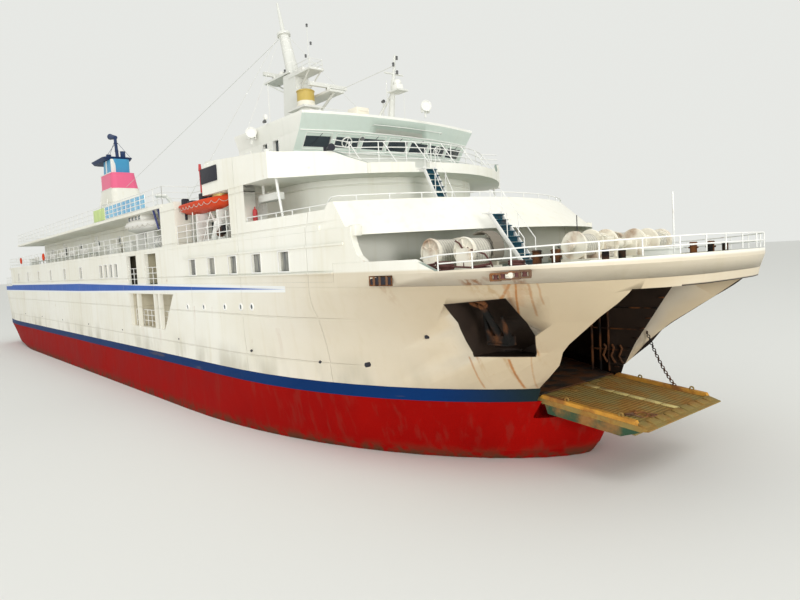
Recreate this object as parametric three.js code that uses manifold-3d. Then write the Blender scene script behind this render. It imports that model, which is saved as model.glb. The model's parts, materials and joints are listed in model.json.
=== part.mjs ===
import * as THREE from "three";
import { mergeVertices } from "three/addons/utils/BufferGeometryUtils.js";
import Module from "manifold-3d";

const wasm = await Module();
wasm.setup();

// Roll-on roll-off passenger ferry, a scale model at 1:10.
// Sizes are written in metres of the full-size ship, and one ship metre is 100 mm of the model.
// +X points to the bow, +Y to port, +Z up, and Z = 0 is the waterline. X = 0 is half the length overall.
const modelMmPerShipMetre = 100;
const gap = 0.004;

// Cutting shapes run past the faces they cut, and past the whole ship's half-breadth.
const past = 1;
const beyond = 9;

// Heights of the decks above the waterline.
const keelZ = -3.0;
const carDeckZ = 2.5;
const carDeckPlateTop = 2.62;
const bootBandTop = 3.0;
const hullTop = 7.0;
const mainDeckTop = 7.2;
const foredeckTop = 7.45;
const saloonTop = 9.2;
const boatDeckTop = 9.4;
const cabinTop = 11.7;
const bridgeDeckTop = 11.9;
const wheelhouseTop = 14.05;
const roofTop = 14.85;

// Plan sizes.
const halfBeam = 7.55;
const sternX = -43.4;
const stemX = 43.4;
const plating = 0.3;
const bowMouthAft = 36;
const bowDoorHalf = 2.8;
const bowDoorTop = 6.7;
const sternDoorHalf = 2.75;
const sternDoorTop = 6.9;
const saloonAft = -38;
const saloonFront = 31.8;
const sidePlatingFront = 33.1;
const cabinAft = -30;
const cabinHalf = 5.2;
const bridgeAft = 20.4;
const wheelhouseAft = 20.6;
const wheelhouseHalf = 5.45;

// Colours, roughness and metalness of each finish.
const finishes = {
  antifouling: [0xc01818, 0.55, 0.0],
  bootBlue: [0x1f3f8f, 0.45, 0.0],
  shipWhite: [0xe9e6da, 0.45, 0.0],
  steelGrey: [0x77736b, 0.7, 0.3],
  kerbYellow: [0xe3a52a, 0.5, 0.0],
  rampGreen: [0x3d5b40, 0.6, 0.0],
  browGrey: [0xb9cbc2, 0.45, 0.0],
  glass: [0x2a3442, 0.1, 0.0],
  funnelRed: [0xe8487f, 0.45, 0.0],
  funnelBlue: [0x3fa3dd, 0.45, 0.0],
  funnelDark: [0x20304f, 0.6, 0.2],
  bronze: [0xb08a45, 0.35, 0.9],
  rescueOrange: [0xe8501f, 0.45, 0.0],
  boatWhite: [0xf0ece6, 0.4, 0.0],
  stairBlue: [0x2f6f86, 0.55, 0.0],
  anchorBlack: [0x1c1c1e, 0.7, 0.4],
};

// Waterlines of the hull. Columns: height, half-breadth amidships, where the bow curve starts, where it
// ends at the stem, its two exponents, where the stern curve starts, where it ends, half-breadth there.
const bottomWaterlines = [
  [keelZ, 5.6, 6, 34.5, 2.0, 0.9, -6, -24, 1.2],
  [-2.5, 6.9, 10, 35.7, 2.1, 0.8, -12, -27, 2.6],
  [-1.2, 7.45, 13, 36.9, 2.2, 0.72, -20, -34, 4.6],
  [-0.4, halfBeam, 15, 37.4, 2.3, 0.66, -26, -38.5, 5.8],
  [0.4, halfBeam, 17, 38.0, 2.4, 0.62, -30, -42.4, 6.5],
  [carDeckZ, halfBeam, 21, 39.0, 2.4, 0.6, -35, sternX, 7.1],
];
const bandWaterlines = [
  [carDeckZ, halfBeam, 21, 39.0, 2.4, 0.6, -35, sternX, 7.1],
  [bootBandTop, halfBeam, 21, 39.2, 2.4, 0.6, -35, sternX, 7.1],
];
const sideWaterlines = [
  [bootBandTop, halfBeam, 21, 39.2, 2.4, 0.6, -35, sternX, 7.1],
  [4.5, halfBeam, 23.5, 41.6, 1.8, 0.56, -35, sternX, 7.2],
  [5.65, halfBeam, 26, stemX, 1.5, 0.45, -36, sternX, 7.3],
  [6.6, halfBeam, 29, 43.2, 1.7, 0.305, -37, sternX, 7.4],
  [hullTop, halfBeam, 31, 43.3, 2.2, 0.34, -38, sternX, 7.4],
];
const deckEdge = [halfBeam, 34, stemX, 2.4, 0.37, -38, sternX, 7.4];
const bowPoints = 15;
const sternPoints = 5;

// Half-breadth points of one waterline from the stem aft on the port side.
function portPoints([half, bowStart, stem, power, fullness, sternStart, sternEnd, sternHalf]) {
  const points = [];
  for (let i = bowPoints - 1; i >= 0; i -= 1) {
    const along = 1 - (1 - i / bowPoints) ** 2;
    const x = bowStart + (stem - bowStart) * along;
    points.push([x, half * (1 - along ** power) ** fullness]);
  }
  for (let i = 0; i <= sternPoints; i += 1) {
    const along = i / sternPoints;
    const x = sternStart + (sternEnd - sternStart) * along;
    points.push([x, half - (half - sternHalf) * along ** 2]);
  }
  return points;
}

// A whole waterline, anticlockwise seen from above, set in by the wall's thickness where that is given.
function waterline(row, inset = 0) {
  const [half, bowStart, stem, power, fullness, sternStart, sternEnd, sternHalf] = row;
  const insetRow = [half - inset, bowStart, stem - 2 * inset, power, fullness, sternStart, sternEnd + inset,
    sternHalf - inset];
  const port = portPoints(insetRow);
  const starboard = port.map(([x, y]) => [x, -y]).reverse();
  return [[insetRow[2], 0], ...port, ...starboard];
}

// Both sides of a plan outline given by its port side from bow to stern.
function bothSides(port) {
  const starboard = port.filter(([, y]) => y > 0).map(([x, y]) => [x, -y]).reverse();
  return [...port, ...starboard];
}

function prism(outline, low, high) {
  const shape = new THREE.Shape(outline.map(([x, y]) => new THREE.Vector2(x, y)));
  const geometry = new THREE.ExtrudeGeometry(shape, { depth: high - low, bevelEnabled: false });
  return geometry.translate(0, 0, low);
}

// A side view, given as X and Z, extruded across the ship.
function sidePrism(profile, low, high) {
  const geometry = prism(profile, 0, high - low);
  return geometry.rotateX(Math.PI / 2).translate(0, high, 0);
}

function block(lowX, highX, lowY, highY, lowZ, highZ) {
  const geometry = new THREE.BoxGeometry(highX - lowX, highY - lowY, highZ - lowZ);
  return geometry.translate((lowX + highX) / 2, (lowY + highY) / 2, (lowZ + highZ) / 2);
}

// A round bar between two places, with its radius at each end.
function rod(start, end, startRadius, endRadius = startRadius, sides = 12) {
  const from = new THREE.Vector3(...start);
  const along = new THREE.Vector3(...end).sub(from);
  const geometry = new THREE.CylinderGeometry(endRadius, startRadius, along.length(), sides);
  geometry.translate(0, along.length() / 2, 0);
  const turn = new THREE.Quaternion().setFromUnitVectors(new THREE.Vector3(0, 1, 0), along.normalize());
  return geometry.applyQuaternion(turn).translate(from.x, from.y, from.z);
}

// A closed body through rings of points that run anticlockwise seen from the last ring.
function loft(rings) {
  const count = rings[0].length;
  const positions = rings.flat(2);
  const indices = [];
  for (let ring = 0; ring < rings.length - 1; ring += 1) {
    for (let i = 0; i < count; i += 1) {
      const next = (i + 1) % count;
      const a = ring * count + i;
      const b = ring * count + next;
      indices.push(a, b, b + count, a, b + count, a + count);
    }
  }
  const middleOf = (ring) =>
    ring.reduce((sum, point) => sum.map((value, k) => value + point[k] / count), [0, 0, 0]);
  const last = (rings.length - 1) * count;
  const bottomMiddle = rings.length * count;
  positions.push(...middleOf(rings[0]), ...middleOf(rings[rings.length - 1]));
  for (let i = 0; i < count; i += 1) {
    const next = (i + 1) % count;
    indices.push(bottomMiddle, next, i, bottomMiddle + 1, last + i, last + next);
  }
  const geometry = new THREE.BufferGeometry();
  geometry.setAttribute("position", new THREE.Float32BufferAttribute(positions, 3));
  geometry.setIndex(indices);
  return geometry;
}

// A body through plan outlines at several heights.
function stack(levels) {
  return loft(levels.map(([height, outline]) => outline.map(([x, y]) => [x, y, height])));
}

function toSolid(geometry) {
  const plain = geometry.clone();
  plain.deleteAttribute("normal");
  plain.deleteAttribute("uv");
  const merged = mergeVertices(plain, 1e-4);
  const mesh = new wasm.Mesh({
    numProp: 3,
    vertProperties: new Float32Array(merged.attributes.position.array),
    triVerts: new Uint32Array(merged.index.array),
  });
  return new wasm.Manifold(mesh);
}

function toGeometry(solid) {
  const mesh = solid.getMesh();
  const geometry = new THREE.BufferGeometry();
  geometry.setAttribute("position", new THREE.BufferAttribute(new Float32Array(mesh.vertProperties), 3));
  geometry.setIndex(new THREE.BufferAttribute(new Uint32Array(mesh.triVerts), 1));
  return geometry;
}

function joined(first, ...others) {
  return toGeometry(others.reduce((solid, other) => solid.add(toSolid(other)), toSolid(first)));
}

function cut(first, ...cutters) {
  return toGeometry(cutters.reduce((solid, cutter) => solid.subtract(toSolid(cutter)), toSolid(first)));
}

function common(first, second) {
  return toGeometry(toSolid(first).intersect(toSolid(second)));
}

// The same shape on the other side of the ship.
function mirrored(geometry) {
  const copy = mergeVertices(plainCopy(geometry), 1e-4);
  copy.scale(1, -1, 1);
  const index = copy.index.array;
  for (let i = 0; i < index.length; i += 3) {
    [index[i], index[i + 1]] = [index[i + 1], index[i]];
  }
  return copy;
}

function plainCopy(geometry) {
  const copy = geometry.clone();
  copy.deleteAttribute("normal");
  copy.deleteAttribute("uv");
  return copy;
}

const ferry = new THREE.Group();
ferry.name = "passenger_ferry";

function addPiece(name, geometry, finish) {
  const [color, roughness, metalness] = finishes[finish];
  const plain = plainCopy(geometry);
  const shape = plain.index ? plain.toNonIndexed() : plain;
  shape.scale(modelMmPerShipMetre, modelMmPerShipMetre, modelMmPerShipMetre);
  shape.computeVertexNormals();
  const mesh = new THREE.Mesh(shape, new THREE.MeshStandardMaterial({ color, roughness, metalness }));
  mesh.name = name;
  ferry.add(mesh);
}

// A piece on the starboard side and its mirror image on the port side.
function addPair(name, starboardGeometry, finish) {
  addPiece(`${name}_starboard`, starboardGeometry, finish);
  addPiece(`${name}_port`, mirrored(starboardGeometry), finish);
}

// Hull below the car deck, solid, with the shafts' tubes, their struts and the rudder trunks.
const shaftY = 2.7;
const shaftZ = -1.75;
const shaftStartX = -26;
const shaftEndX = -36.2;
const shaftTubeRadius = 0.17;
const strut = { aft: -36.0, fore: -35.3, halfThickness: 0.07, top: -0.2 };
const rudderX = -38.6;
const rudderTrunk = { bottom: -0.85, top: 0.5, radius: 0.2 };
// Room for the bow ramp's girders when it is lowered.
const bowStep = { aft: 37.15, bottom: 1.8, half: 2.68 };

function hullBottom() {
  const body = stack(bottomWaterlines.map(([height, ...row]) => [height, waterline(row)]));
  const step = block(bowStep.aft, stemX, -bowStep.half, bowStep.half, bowStep.bottom, carDeckZ + past);
  const fittings = [-shaftY, shaftY].flatMap((y) => [
    rod([shaftStartX, y, shaftZ], [shaftEndX, y, shaftZ], shaftTubeRadius),
    block(strut.aft, strut.fore, y - strut.halfThickness, y + strut.halfThickness, shaftZ, strut.top),
    rod([rudderX, y, rudderTrunk.bottom], [rudderX, y, rudderTrunk.top], rudderTrunk.radius),
  ]);
  return joined(cut(body, step), ...fittings);
}

// Everything inside the car deck's side walls, as a plan outline.
const lobbyAft = 6.2;
const lobbyFront = 16.2;
const lobbyInnerHalf = 5.6;

function carDeckPlan(inset = 0) {
  const port = [
    [40, bowDoorHalf - inset], [37.0, bowDoorHalf - inset], [35.2, 4.0 - inset], [33.1, 5.2 - inset],
    [30.4, 6.15 - inset], [26.5, 6.85 - inset], [21, halfBeam - plating - inset],
    [lobbyFront + inset, halfBeam - plating - inset], [lobbyFront + inset, lobbyInnerHalf - inset],
    [lobbyAft - inset, lobbyInnerHalf - inset], [lobbyAft - inset, halfBeam - plating - inset],
    [-36, halfBeam - plating - inset], [sternX + plating + inset, 6.7 - inset],
  ];
  return bothSides(port);
}

// The blue band above the red bottom: on each side of the ship a long strake that ends at the stern door
// and a bow strake that ends at the bow door, meeting at a butt.
const bandButtX = 31;

function bootBand(fromX, toX) {
  const body = stack(bandWaterlines.map(([height, ...row]) => [height + (height < bootBandTop ? gap : 0),
    waterline(row)]));
  const low = carDeckZ - past;
  const high = bootBandTop + past;
  const inside = prism(carDeckPlan(), low, high);
  const bowMouth = block(bowMouthAft, stemX, -bowDoorHalf, bowDoorHalf, low, high);
  const sternMouth = block(sternX - past, sternX + past, -sternDoorHalf, sternDoorHalf, low, high);
  return common(cut(body, inside, bowMouth, sternMouth), block(fromX, toX, -beyond, 0, low, high));
}

// The white side above the band, open inside as the car deck, with the bow door, stern door, the
// boarding openings with their pillars and the anchor pockets cut.
const boardingOpening = [[7.2, 4.45], [13.5, 4.45], [15.2, 6.6], [7.2, 6.6]];
const pillar = {
  at: [8.75, 11.95, 12.75], halfWidth: 0.14, outerInset: 0.02, innerInset: 0.25, low: 4.3, high: 6.7,
};
const anchorPocket = [[36.34, 4.35], [38.23, 4.36], [38.72, 5.19], [38.79, 6.52], [36.56, 6.33]];
const anchorPocketDepth = 0.9;
const anchorPocketInner = 3.1;
// The bow door's opening widens forward. Columns: height, X where the widening starts, X and half-breadth
// where it meets the outer plating.
const bowDoorFlare = [
  [2.9, 37.45, 37.6, 2.84], [4.0, 38.2, 38.52, 3.09], [4.8, 38.76, 39.36, 3.54], [5.83, 39.47, 40.88, 3.96],
  [bowDoorTop, 40.1, 42.1, 4.14],
];

function hullSides() {
  const body = stack(sideWaterlines.map(([height, ...row]) => [height + (height === bootBandTop ? gap : 0),
    waterline(row)]));
  const low = bootBandTop - past;
  const inside = prism(carDeckPlan(), low, hullTop + past);
  const bowMouth = block(bowMouthAft, stemX + past, -bowDoorHalf, bowDoorHalf, low, bowDoorTop);
  const bowFlare = stack(bowDoorFlare.map(([height, startX, edgeX, edgeHalf]) => [height, [
    [startX, -bowDoorHalf], [edgeX, -edgeHalf], [stemX + past, -edgeHalf - past],
    [stemX + past, edgeHalf + past], [edgeX, edgeHalf], [startX, bowDoorHalf],
  ]]));
  const sternMouth = block(sternX - past, sternX + past, -sternDoorHalf, sternDoorHalf, low, sternDoorTop);
  const pocketFloor = stack(sideWaterlines.map(([height, ...row]) =>
    [height, waterline(row, anchorPocketDepth)]));
  const pockets = [-1, 1].flatMap((side) => {
    const spanFrom = (inner) => (side < 0 ? [-beyond, -inner] : [inner, beyond]);
    return [
      sidePrism(boardingOpening, ...spanFrom(lobbyInnerHalf + plating)),
      cut(sidePrism(anchorPocket, ...spanFrom(anchorPocketInner)), pocketFloor),
    ];
  });
  const pillars = [-1, 1].flatMap((side) => pillar.at.map((x) => {
    const faces = [side * (halfBeam - pillar.outerInset), side * (halfBeam - pillar.innerInset)];
    return block(x - pillar.halfWidth, x + pillar.halfWidth, Math.min(...faces), Math.max(...faces),
      pillar.low, pillar.high);
  }));
  return joined(cut(body, inside, bowMouth, bowFlare, sternMouth, ...pockets), ...pillars);
}

const sternSill = 0.2;

function carDeck() {
  const plate = prism(carDeckPlan(gap), carDeckZ + gap, carDeckPlateTop);
  const ahead = block(bowStep.aft, stemX, -beyond, beyond, carDeckZ - past, carDeckZ + past);
  const threshold = block(sternX + sternSill, sternX + past, -sternDoorHalf + gap, sternDoorHalf - gap,
    carDeckZ + gap, carDeckPlateTop);
  return joined(cut(plate, ahead), threshold);
}

// Main deck, over the car deck as far as the saloon's front.
const hullTopRow = sideWaterlines[sideWaterlines.length - 1].slice(1);
const deckButtX = saloonFront + 0.04;

function mainDeck() {
  const ahead = block(deckButtX, stemX + past, -beyond, beyond, hullTop - past, mainDeckTop + past);
  return cut(prism(waterline(hullTopRow), hullTop + gap, mainDeckTop), ahead);
}

// Foredeck: a thick platform that overhangs the bow door. Its bulwark steps down to a low coaming that
// rises towards the stem.
const bulwarkTop = 7.9;
const bulwarkEnd = 37.2;
const bulwarkStep = 0.9;
const rimThickness = 0.18;
const rimOverlap = 0.01;
const coamingTops = [foredeckTop + 0.04, foredeckTop + 0.23];

function foredeck() {
  const aft = block(sternX - past, deckButtX + gap, -beyond, beyond, hullTop - past, bulwarkTop + past);
  const platform = stack([[hullTop + gap, waterline(hullTopRow)], [foredeckTop, waterline(deckEdge)]]);
  const rim = cut(prism(waterline(deckEdge), foredeckTop - rimOverlap, bulwarkTop),
    prism(waterline(deckEdge, rimThickness), foredeckTop, bulwarkTop + past));
  const rimProfile = sidePrism([[sternX, hullTop], [stemX + past, hullTop], [stemX + past, coamingTops[1]],
    [bulwarkEnd, coamingTops[0]], [bulwarkEnd - bulwarkStep, bulwarkTop], [sternX, bulwarkTop]],
    -beyond, beyond);
  return cut(joined(platform, common(rim, rimProfile)), aft);
}

// Saloon walls. Window columns: first X, pitch, how many, width, sill height, head height.
const saloonWindows = [
  [18.4, 2.45, 5, 0.85, 7.69, 8.5],
  [0.9, 1.25, 4, 0.7, 7.75, 8.65],
  [-5.0, -5.6, 6, 0.7, 7.75, 8.65],
];
const saloonDoors = [[7.1, 9.1], [10.7, 12.8]];
const saloonWall = 0.25;
const doorHeadDrop = 0.1;
const sillOverlap = 0.02;
// The side plating ends ahead in a curve down to the bulwark, given as X and Z.
const platingCurve = [[33.78, bulwarkTop + gap], [33.78, 7.93], [33.45, 8.14], [33.23, 8.48], [33.15, 8.7],
  [sidePlatingFront, 8.88], [33, 8.88], [33, bulwarkTop + gap]];
// Raised mouldings below and above the windows. Columns: height of the middle, fore end.
const mouldings = [[7.54, saloonFront], [8.62, 32.6]];
const mouldingShape = { aft: 17, halfHeight: 0.04, proud: 0.06, sunk: 0.05 };

function saloonWalls() {
  const low = mainDeckTop + gap;
  const outside = block(saloonAft, sidePlatingFront, -halfBeam, halfBeam, low, saloonTop);
  const room = block(saloonAft + saloonWall, saloonFront - saloonWall, -halfBeam + saloonWall,
    halfBeam - saloonWall, low - past, saloonTop + past);
  const mooringSpace = block(saloonFront, sidePlatingFront + past, -halfBeam + saloonWall,
    halfBeam - saloonWall, low - past, saloonTop + past);
  const foredeckStep = block(deckButtX - sillOverlap, sidePlatingFront + past, -beyond, beyond, low - past,
    bulwarkTop + gap);
  const windows = saloonWindows.flatMap(([firstX, pitch, count, width, sill, head]) =>
    Array.from({ length: count }, (_, i) => {
      const x = firstX + i * pitch;
      return block(x - width / 2, x + width / 2, -beyond, beyond, sill, head);
    }));
  const doors = saloonDoors.map(([from, to]) =>
    block(from, to, -beyond, beyond, low - past, saloonTop - doorHeadDrop));
  const trim = [-1, 1].flatMap((side) => {
    const between = (one, other) => [Math.min(side * one, side * other), Math.max(side * one, side * other)];
    const { aft, halfHeight, proud, sunk } = mouldingShape;
    const bars = mouldings.map(([height, fore]) => block(aft, fore,
      ...between(halfBeam - sunk, halfBeam + proud), height - halfHeight, height + halfHeight));
    return [...bars, sidePrism(platingCurve, ...between(halfBeam - saloonWall, halfBeam))];
  });
  return joined(cut(outside, room, mooringSpace, foredeckStep, ...windows, ...doors), ...trim);
}

// A front that is bowed forward: X at each breadth, from the corner's X, the bow's depth and the half-width.
const frontPoints = 9;

function bowedFront(cornerX, depth, half) {
  return Array.from({ length: frontPoints }, (_, i) => {
    const y = half * (i / (frontPoints - 1));
    return [cornerX + depth * (1 - (y / half) ** 2), y];
  });
}

// Boat deck, with the overhanging rounded front that carries a sloped bulwark.
// Columns: height, corner X, depth of the bow, half-width.
const overhangLevels = [[8.9, 33.0, 3.5, halfBeam], [10.25, 31.7, 2.9, 7.3]];
const overhangAft = 30.5;
const overhangWall = 0.22;
const overhangWallPast = 0.4;
const overhangBulwarkAft = 31.2;
const boatDeckFront = 31;
// Bulwark along the side from the bridge's pillar to the overhang, leaning in as it goes forward.
// Columns: height, outer half-breadth at its after end, outer half-breadth at its fore end.
const sideBulwark = {
  aft: 24.93, fore: 31.45, thickness: 0.2, levels: [[9.35, halfBeam, 7.46], [10.0, halfBeam, 7.34]],
};
const sideBulwarkTop = sideBulwark.levels[1][0];
const overhangSlopeEnd = 32.5;

// One level of the overhang, between the two rows of its table or beyond them on the same slope.
function overhangLevel(height, inset) {
  const [lower, upper] = overhangLevels;
  const share = (height - lower[0]) / (upper[0] - lower[0]);
  const [, cornerX, depth, half] = lower.map((value, i) => value + share * (upper[i] - value));
  return [height, bothSides([...bowedFront(cornerX - inset, depth, half - inset),
    [overhangAft, half - inset]])];
}

function overhangBody(inset, reach) {
  const [lowHeight, highHeight] = overhangLevels.map(([height]) => height);
  return stack([overhangLevel(lowHeight - reach, inset), overhangLevel(highHeight + reach, inset)]);
}

function boatDeck() {
  const slab = block(saloonAft - past, boatDeckFront, -halfBeam, halfBeam, saloonTop + gap, boatDeckTop);
  const inner = overhangBody(overhangWall, overhangWallPast);
  const across = (fromX, toX, low, high) => block(fromX, toX, -beyond, beyond, low, high);
  const start = overhangAft - past;
  const above = common(inner, across(start, stemX, boatDeckTop, cabinTop));
  const below = common(inner, across(start, stemX, hullTop, saloonTop + gap));
  const overSaloon = across(start, sidePlatingFront + gap, hullTop, saloonTop + gap);
  const bulwarkAftEnd = across(start, overhangBulwarkAft, boatDeckTop, cabinTop);
  const slope = sidePrism([[start, sideBulwarkTop], [overhangBulwarkAft, sideBulwarkTop],
    [overhangSlopeEnd, cabinTop], [start, cabinTop]], -beyond, beyond);
  const { aft, fore, thickness, levels } = sideBulwark;
  const starboardBulwark = stack(levels.map(([height, aftHalf, foreHalf]) => [height, [[aft, -aftHalf],
    [fore, -foreHalf], [fore, -foreHalf + thickness], [aft, -aftHalf + thickness]]]));
  return joined(cut(joined(slab, overhangBody(0, 0)), above, below, overSaloon, bulwarkAftEnd, slope),
    starboardBulwark, mirrored(starboardBulwark));
}

// Cabins on the boat deck, with a rounded front, doors and windows.
const cabinWall = 0.2;
const cabinFrontStart = 25.5;
const cabinFrontDepth = 4.3;
const cabinFrontSteps = 9;
const cabinWindows = { firstX: -26, pitch: 6, count: 8, halfWidth: 0.45, sill: 10.2, head: 10.95 };

function cabinPlan(inset) {
  const half = cabinHalf - inset;
  const front = Array.from({ length: cabinFrontSteps }, (_, i) => {
    const angle = (Math.PI / 2) * (i / (cabinFrontSteps - 1));
    return [cabinFrontStart + (cabinFrontDepth - inset) * Math.cos(angle), half * Math.sin(angle)];
  });
  return bothSides([...front, [cabinAft + inset, half]]);
}

function cabinWalls() {
  const low = boatDeckTop + gap;
  const outside = prism(cabinPlan(0), low, cabinTop);
  const room = prism(cabinPlan(cabinWall), low - past, cabinTop + past);
  const { firstX, pitch, count, halfWidth, sill, head } = cabinWindows;
  const windows = Array.from({ length: count }, (_, i) => {
    const x = firstX + i * pitch;
    return block(x - halfWidth, x + halfWidth, -beyond, beyond, sill, head);
  });
  return cut(outside, room, ...windows);
}

// Bridge deck with its wings, their bulwark, and the walls and pillars that carry it at the ship's side.
const wingEnd = 27.3;
const bridgeFrontCorner = [27.7, 6.9];
const bridgeFrontDepth = 3.6;
const bulwarkThickness = 0.18;
const wingBulwarkTop = 13.4;
// Tops of the bulwark, as X and Z: high along the wings and low across the front.
const bridgeBulwarkTops = [[32, 12.15], [29.9, 12.15], [29.1, 12.7], [21.0, 13.35], [bridgeAft, 12.9]];
const ladderGate = { aft: 30.5, low: -2.25, high: -1.55 };
// Support columns: aft X, fore X, inner half-breadth.
const bridgeSupports = [[14.0, 16.3, 6.6], [23.3, 24.9, 6.95]];
const supportInset = 0.03;
const aftSlabFront = 14.5;
const aftSlabEnd = cabinAft - 2;
const neck = { aft: 14, fore: bridgeAft + 0.5, half: 5.6 };
const slabOverlap = 0.05;

function bridgePlan(inset, aft) {
  const [cornerX, cornerHalf] = bridgeFrontCorner;
  return bothSides([
    ...bowedFront(cornerX - inset, bridgeFrontDepth, cornerHalf - inset / 2),
    [wingEnd - inset / 2, halfBeam - inset], [aft, halfBeam - inset],
  ]);
}

function bridgeDeck() {
  const low = cabinTop + gap;
  const aftSlab = block(aftSlabEnd, aftSlabFront, -halfBeam, halfBeam, low, bridgeDeckTop);
  const middle = block(neck.aft, neck.fore, -neck.half, neck.half, low, bridgeDeckTop);
  const wings = prism(bridgePlan(0, bridgeAft), low, bridgeDeckTop);
  const bulwark = cut(prism(bridgePlan(0, bridgeAft), bridgeDeckTop - slabOverlap, wingBulwarkTop),
    prism(bridgePlan(bulwarkThickness, bridgeAft - past), bridgeDeckTop, wingBulwarkTop + past),
    block(ladderGate.aft, stemX, ladderGate.low, ladderGate.high, bridgeDeckTop, wingBulwarkTop + past));
  const [bulwarkFront] = bridgeBulwarkTops[0];
  const bulwarkProfile = sidePrism([[bridgeAft, low], [bulwarkFront, low], ...bridgeBulwarkTops],
    -beyond, beyond);
  const supports = [-1, 1].flatMap((side) => bridgeSupports.map(([from, to, inner]) => {
    const faces = [side * inner, side * (halfBeam - supportInset)];
    return block(from, to, Math.min(...faces), Math.max(...faces), boatDeckTop + gap,
      bridgeDeckTop - slabOverlap);
  }));
  return joined(aftSlab, middle, wings, common(bulwark, bulwarkProfile), ...supports);
}

// Wheelhouse: walls with seven front windows and side windows, a glass band behind them, and a roof.
// The front leans forward from below the windows up to the roof's edge.
const wheelhouseWall = 0.18;
const wheelhouseFront = 25.95;
const wheelhouseFrontDepth = 0.75;
const browReach = 1.2;
const leanFoot = 13.05;
const windowSill = 13.3;
const windowHead = 13.97;
const frontWindows = { count: 7, pitch: 1.48, width: 1.25, aft: 24.5, fore: 28 };
const sideWindows = [[23.15, 23.75], [24.2, 24.85]];
const glassBand = { thickness: 0.06, below: 0.08, above: 0.05, cutPast: 0.2 };
const brow = { sidePast: 0.08, aftPast: 0.25, edge: 0.12 };

// How far the front leans forward at a height, up to the roof's edge.
function leanAt(height) {
  return browReach * Math.max(0, height - leanFoot) / (roofTop - brow.edge - leanFoot);
}

function wheelhouseLevel(height, inset) {
  return [height, bothSides([
    ...bowedFront(wheelhouseFront + leanAt(height) - inset, wheelhouseFrontDepth, wheelhouseHalf - inset),
    [wheelhouseAft + inset, wheelhouseHalf - inset],
  ])];
}

function wheelhouseWalls() {
  const low = bridgeDeckTop + gap;
  const outside = stack([low, leanFoot, wheelhouseTop].map((height) => wheelhouseLevel(height, 0)));
  const room = stack([low - past, leanFoot, wheelhouseTop + past].map((height) =>
    wheelhouseLevel(height, wheelhouseWall)));
  const front = Array.from({ length: frontWindows.count }, (_, i) => {
    const y = (i - (frontWindows.count - 1) / 2) * frontWindows.pitch;
    return block(frontWindows.aft, frontWindows.fore, y - frontWindows.width / 2, y + frontWindows.width / 2,
      windowSill, windowHead);
  });
  const sides = sideWindows.map(([from, to]) => block(from, to, -beyond, beyond, windowSill, windowHead));
  return cut(outside, room, ...front, ...sides);
}

function wheelhouseGlass() {
  const band = (inset, below, above) => stack([windowSill - below, windowHead + above].map((height) =>
    wheelhouseLevel(height, inset)));
  return cut(band(wheelhouseWall + gap, glassBand.below, glassBand.above),
    band(wheelhouseWall + glassBand.thickness, glassBand.cutPast, glassBand.cutPast));
}

function wheelhouseRoof() {
  const browHalf = wheelhouseHalf + brow.sidePast;
  const browPlan = bothSides([
    ...bowedFront(wheelhouseFront + browReach, wheelhouseFrontDepth, browHalf),
    [wheelhouseAft - brow.aftPast, browHalf],
  ]);
  return stack([wheelhouseLevel(wheelhouseTop + gap, 0), [roofTop - brow.edge, browPlan],
    [roofTop, browPlan]]);
}

// Main mast, raked aft, standing on the bridge deck behind the wheelhouse, with its platforms.
// Foot columns: height, aft X, fore X, half-width.
const mastFoot = [
  [bridgeDeckTop + gap, 17.5, 20.2, 1.2],
  [roofTop, 17.6, 19.7, 0.8],
  [17.3, 17.3, 19.1, 0.6],
  [19.5, 17.2, 18.5, 0.45],
];
// Platform columns: aft X, fore X, low Y, high Y, underside height.
const mastPlatforms = [
  [14.9, 18.0, -0.5, 0.5, 19.55],
  [17.8, 20.3, -0.5, 0.5, 19.2],
  [18.2, 21.5, 0.0, 1.0, 17.7],
  [18.9, 20.75, -1.3, -0.1, 16.88],
  [18.8, 22.3, -1.2, 0.8, 15.75],
];
const platformThickness = 0.12;
// Bar columns: start, end, radius at the start, radius at the end, number of sides.
const mastBars = [
  [[17.85, 0, 19.0], [16.85, 0, 22.2], 0.42, 0.3, 14],
  [[16.9, 0, 22.1], [16.3, 0, 24.3], 0.16, 0.07, 10],
  [[16.87, 0, 22.12], [16.83, 0, 22.28], 0.42, 0.42, 14],
  [[21.2, 0.5, 17.75], [19.0, 0.3, 16.4], 0.08, 0.08, 6],
  [[21.7, -0.2, 15.8], [19.5, -0.2, 15.1], 0.08, 0.08, 6],
  [[20.0, -0.7, 15.8], [20.0, -0.7, 16.95], 0.26, 0.46, 14],
];
const drumSeatTop = 17.0;
const drum = { at: [20.0, -0.7], top: 17.95, radius: 0.52, topRadius: 0.5, sides: 24 };

function mainMast() {
  const foot = stack(mastFoot.map(([height, aft, fore, half]) =>
    [height, [[fore, -half], [fore, half], [aft, half], [aft, -half]]]));
  const platforms = mastPlatforms.map(([aft, fore, low, high, under]) =>
    block(aft, fore, low, high, under, under + platformThickness));
  return joined(foot, ...platforms, ...mastBars.map((bar) => rod(...bar)));
}

function satelliteDrum() {
  return rod([...drum.at, drumSeatTop + gap], [...drum.at, drum.top], drum.radius, drum.topRadius,
    drum.sides);
}

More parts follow.
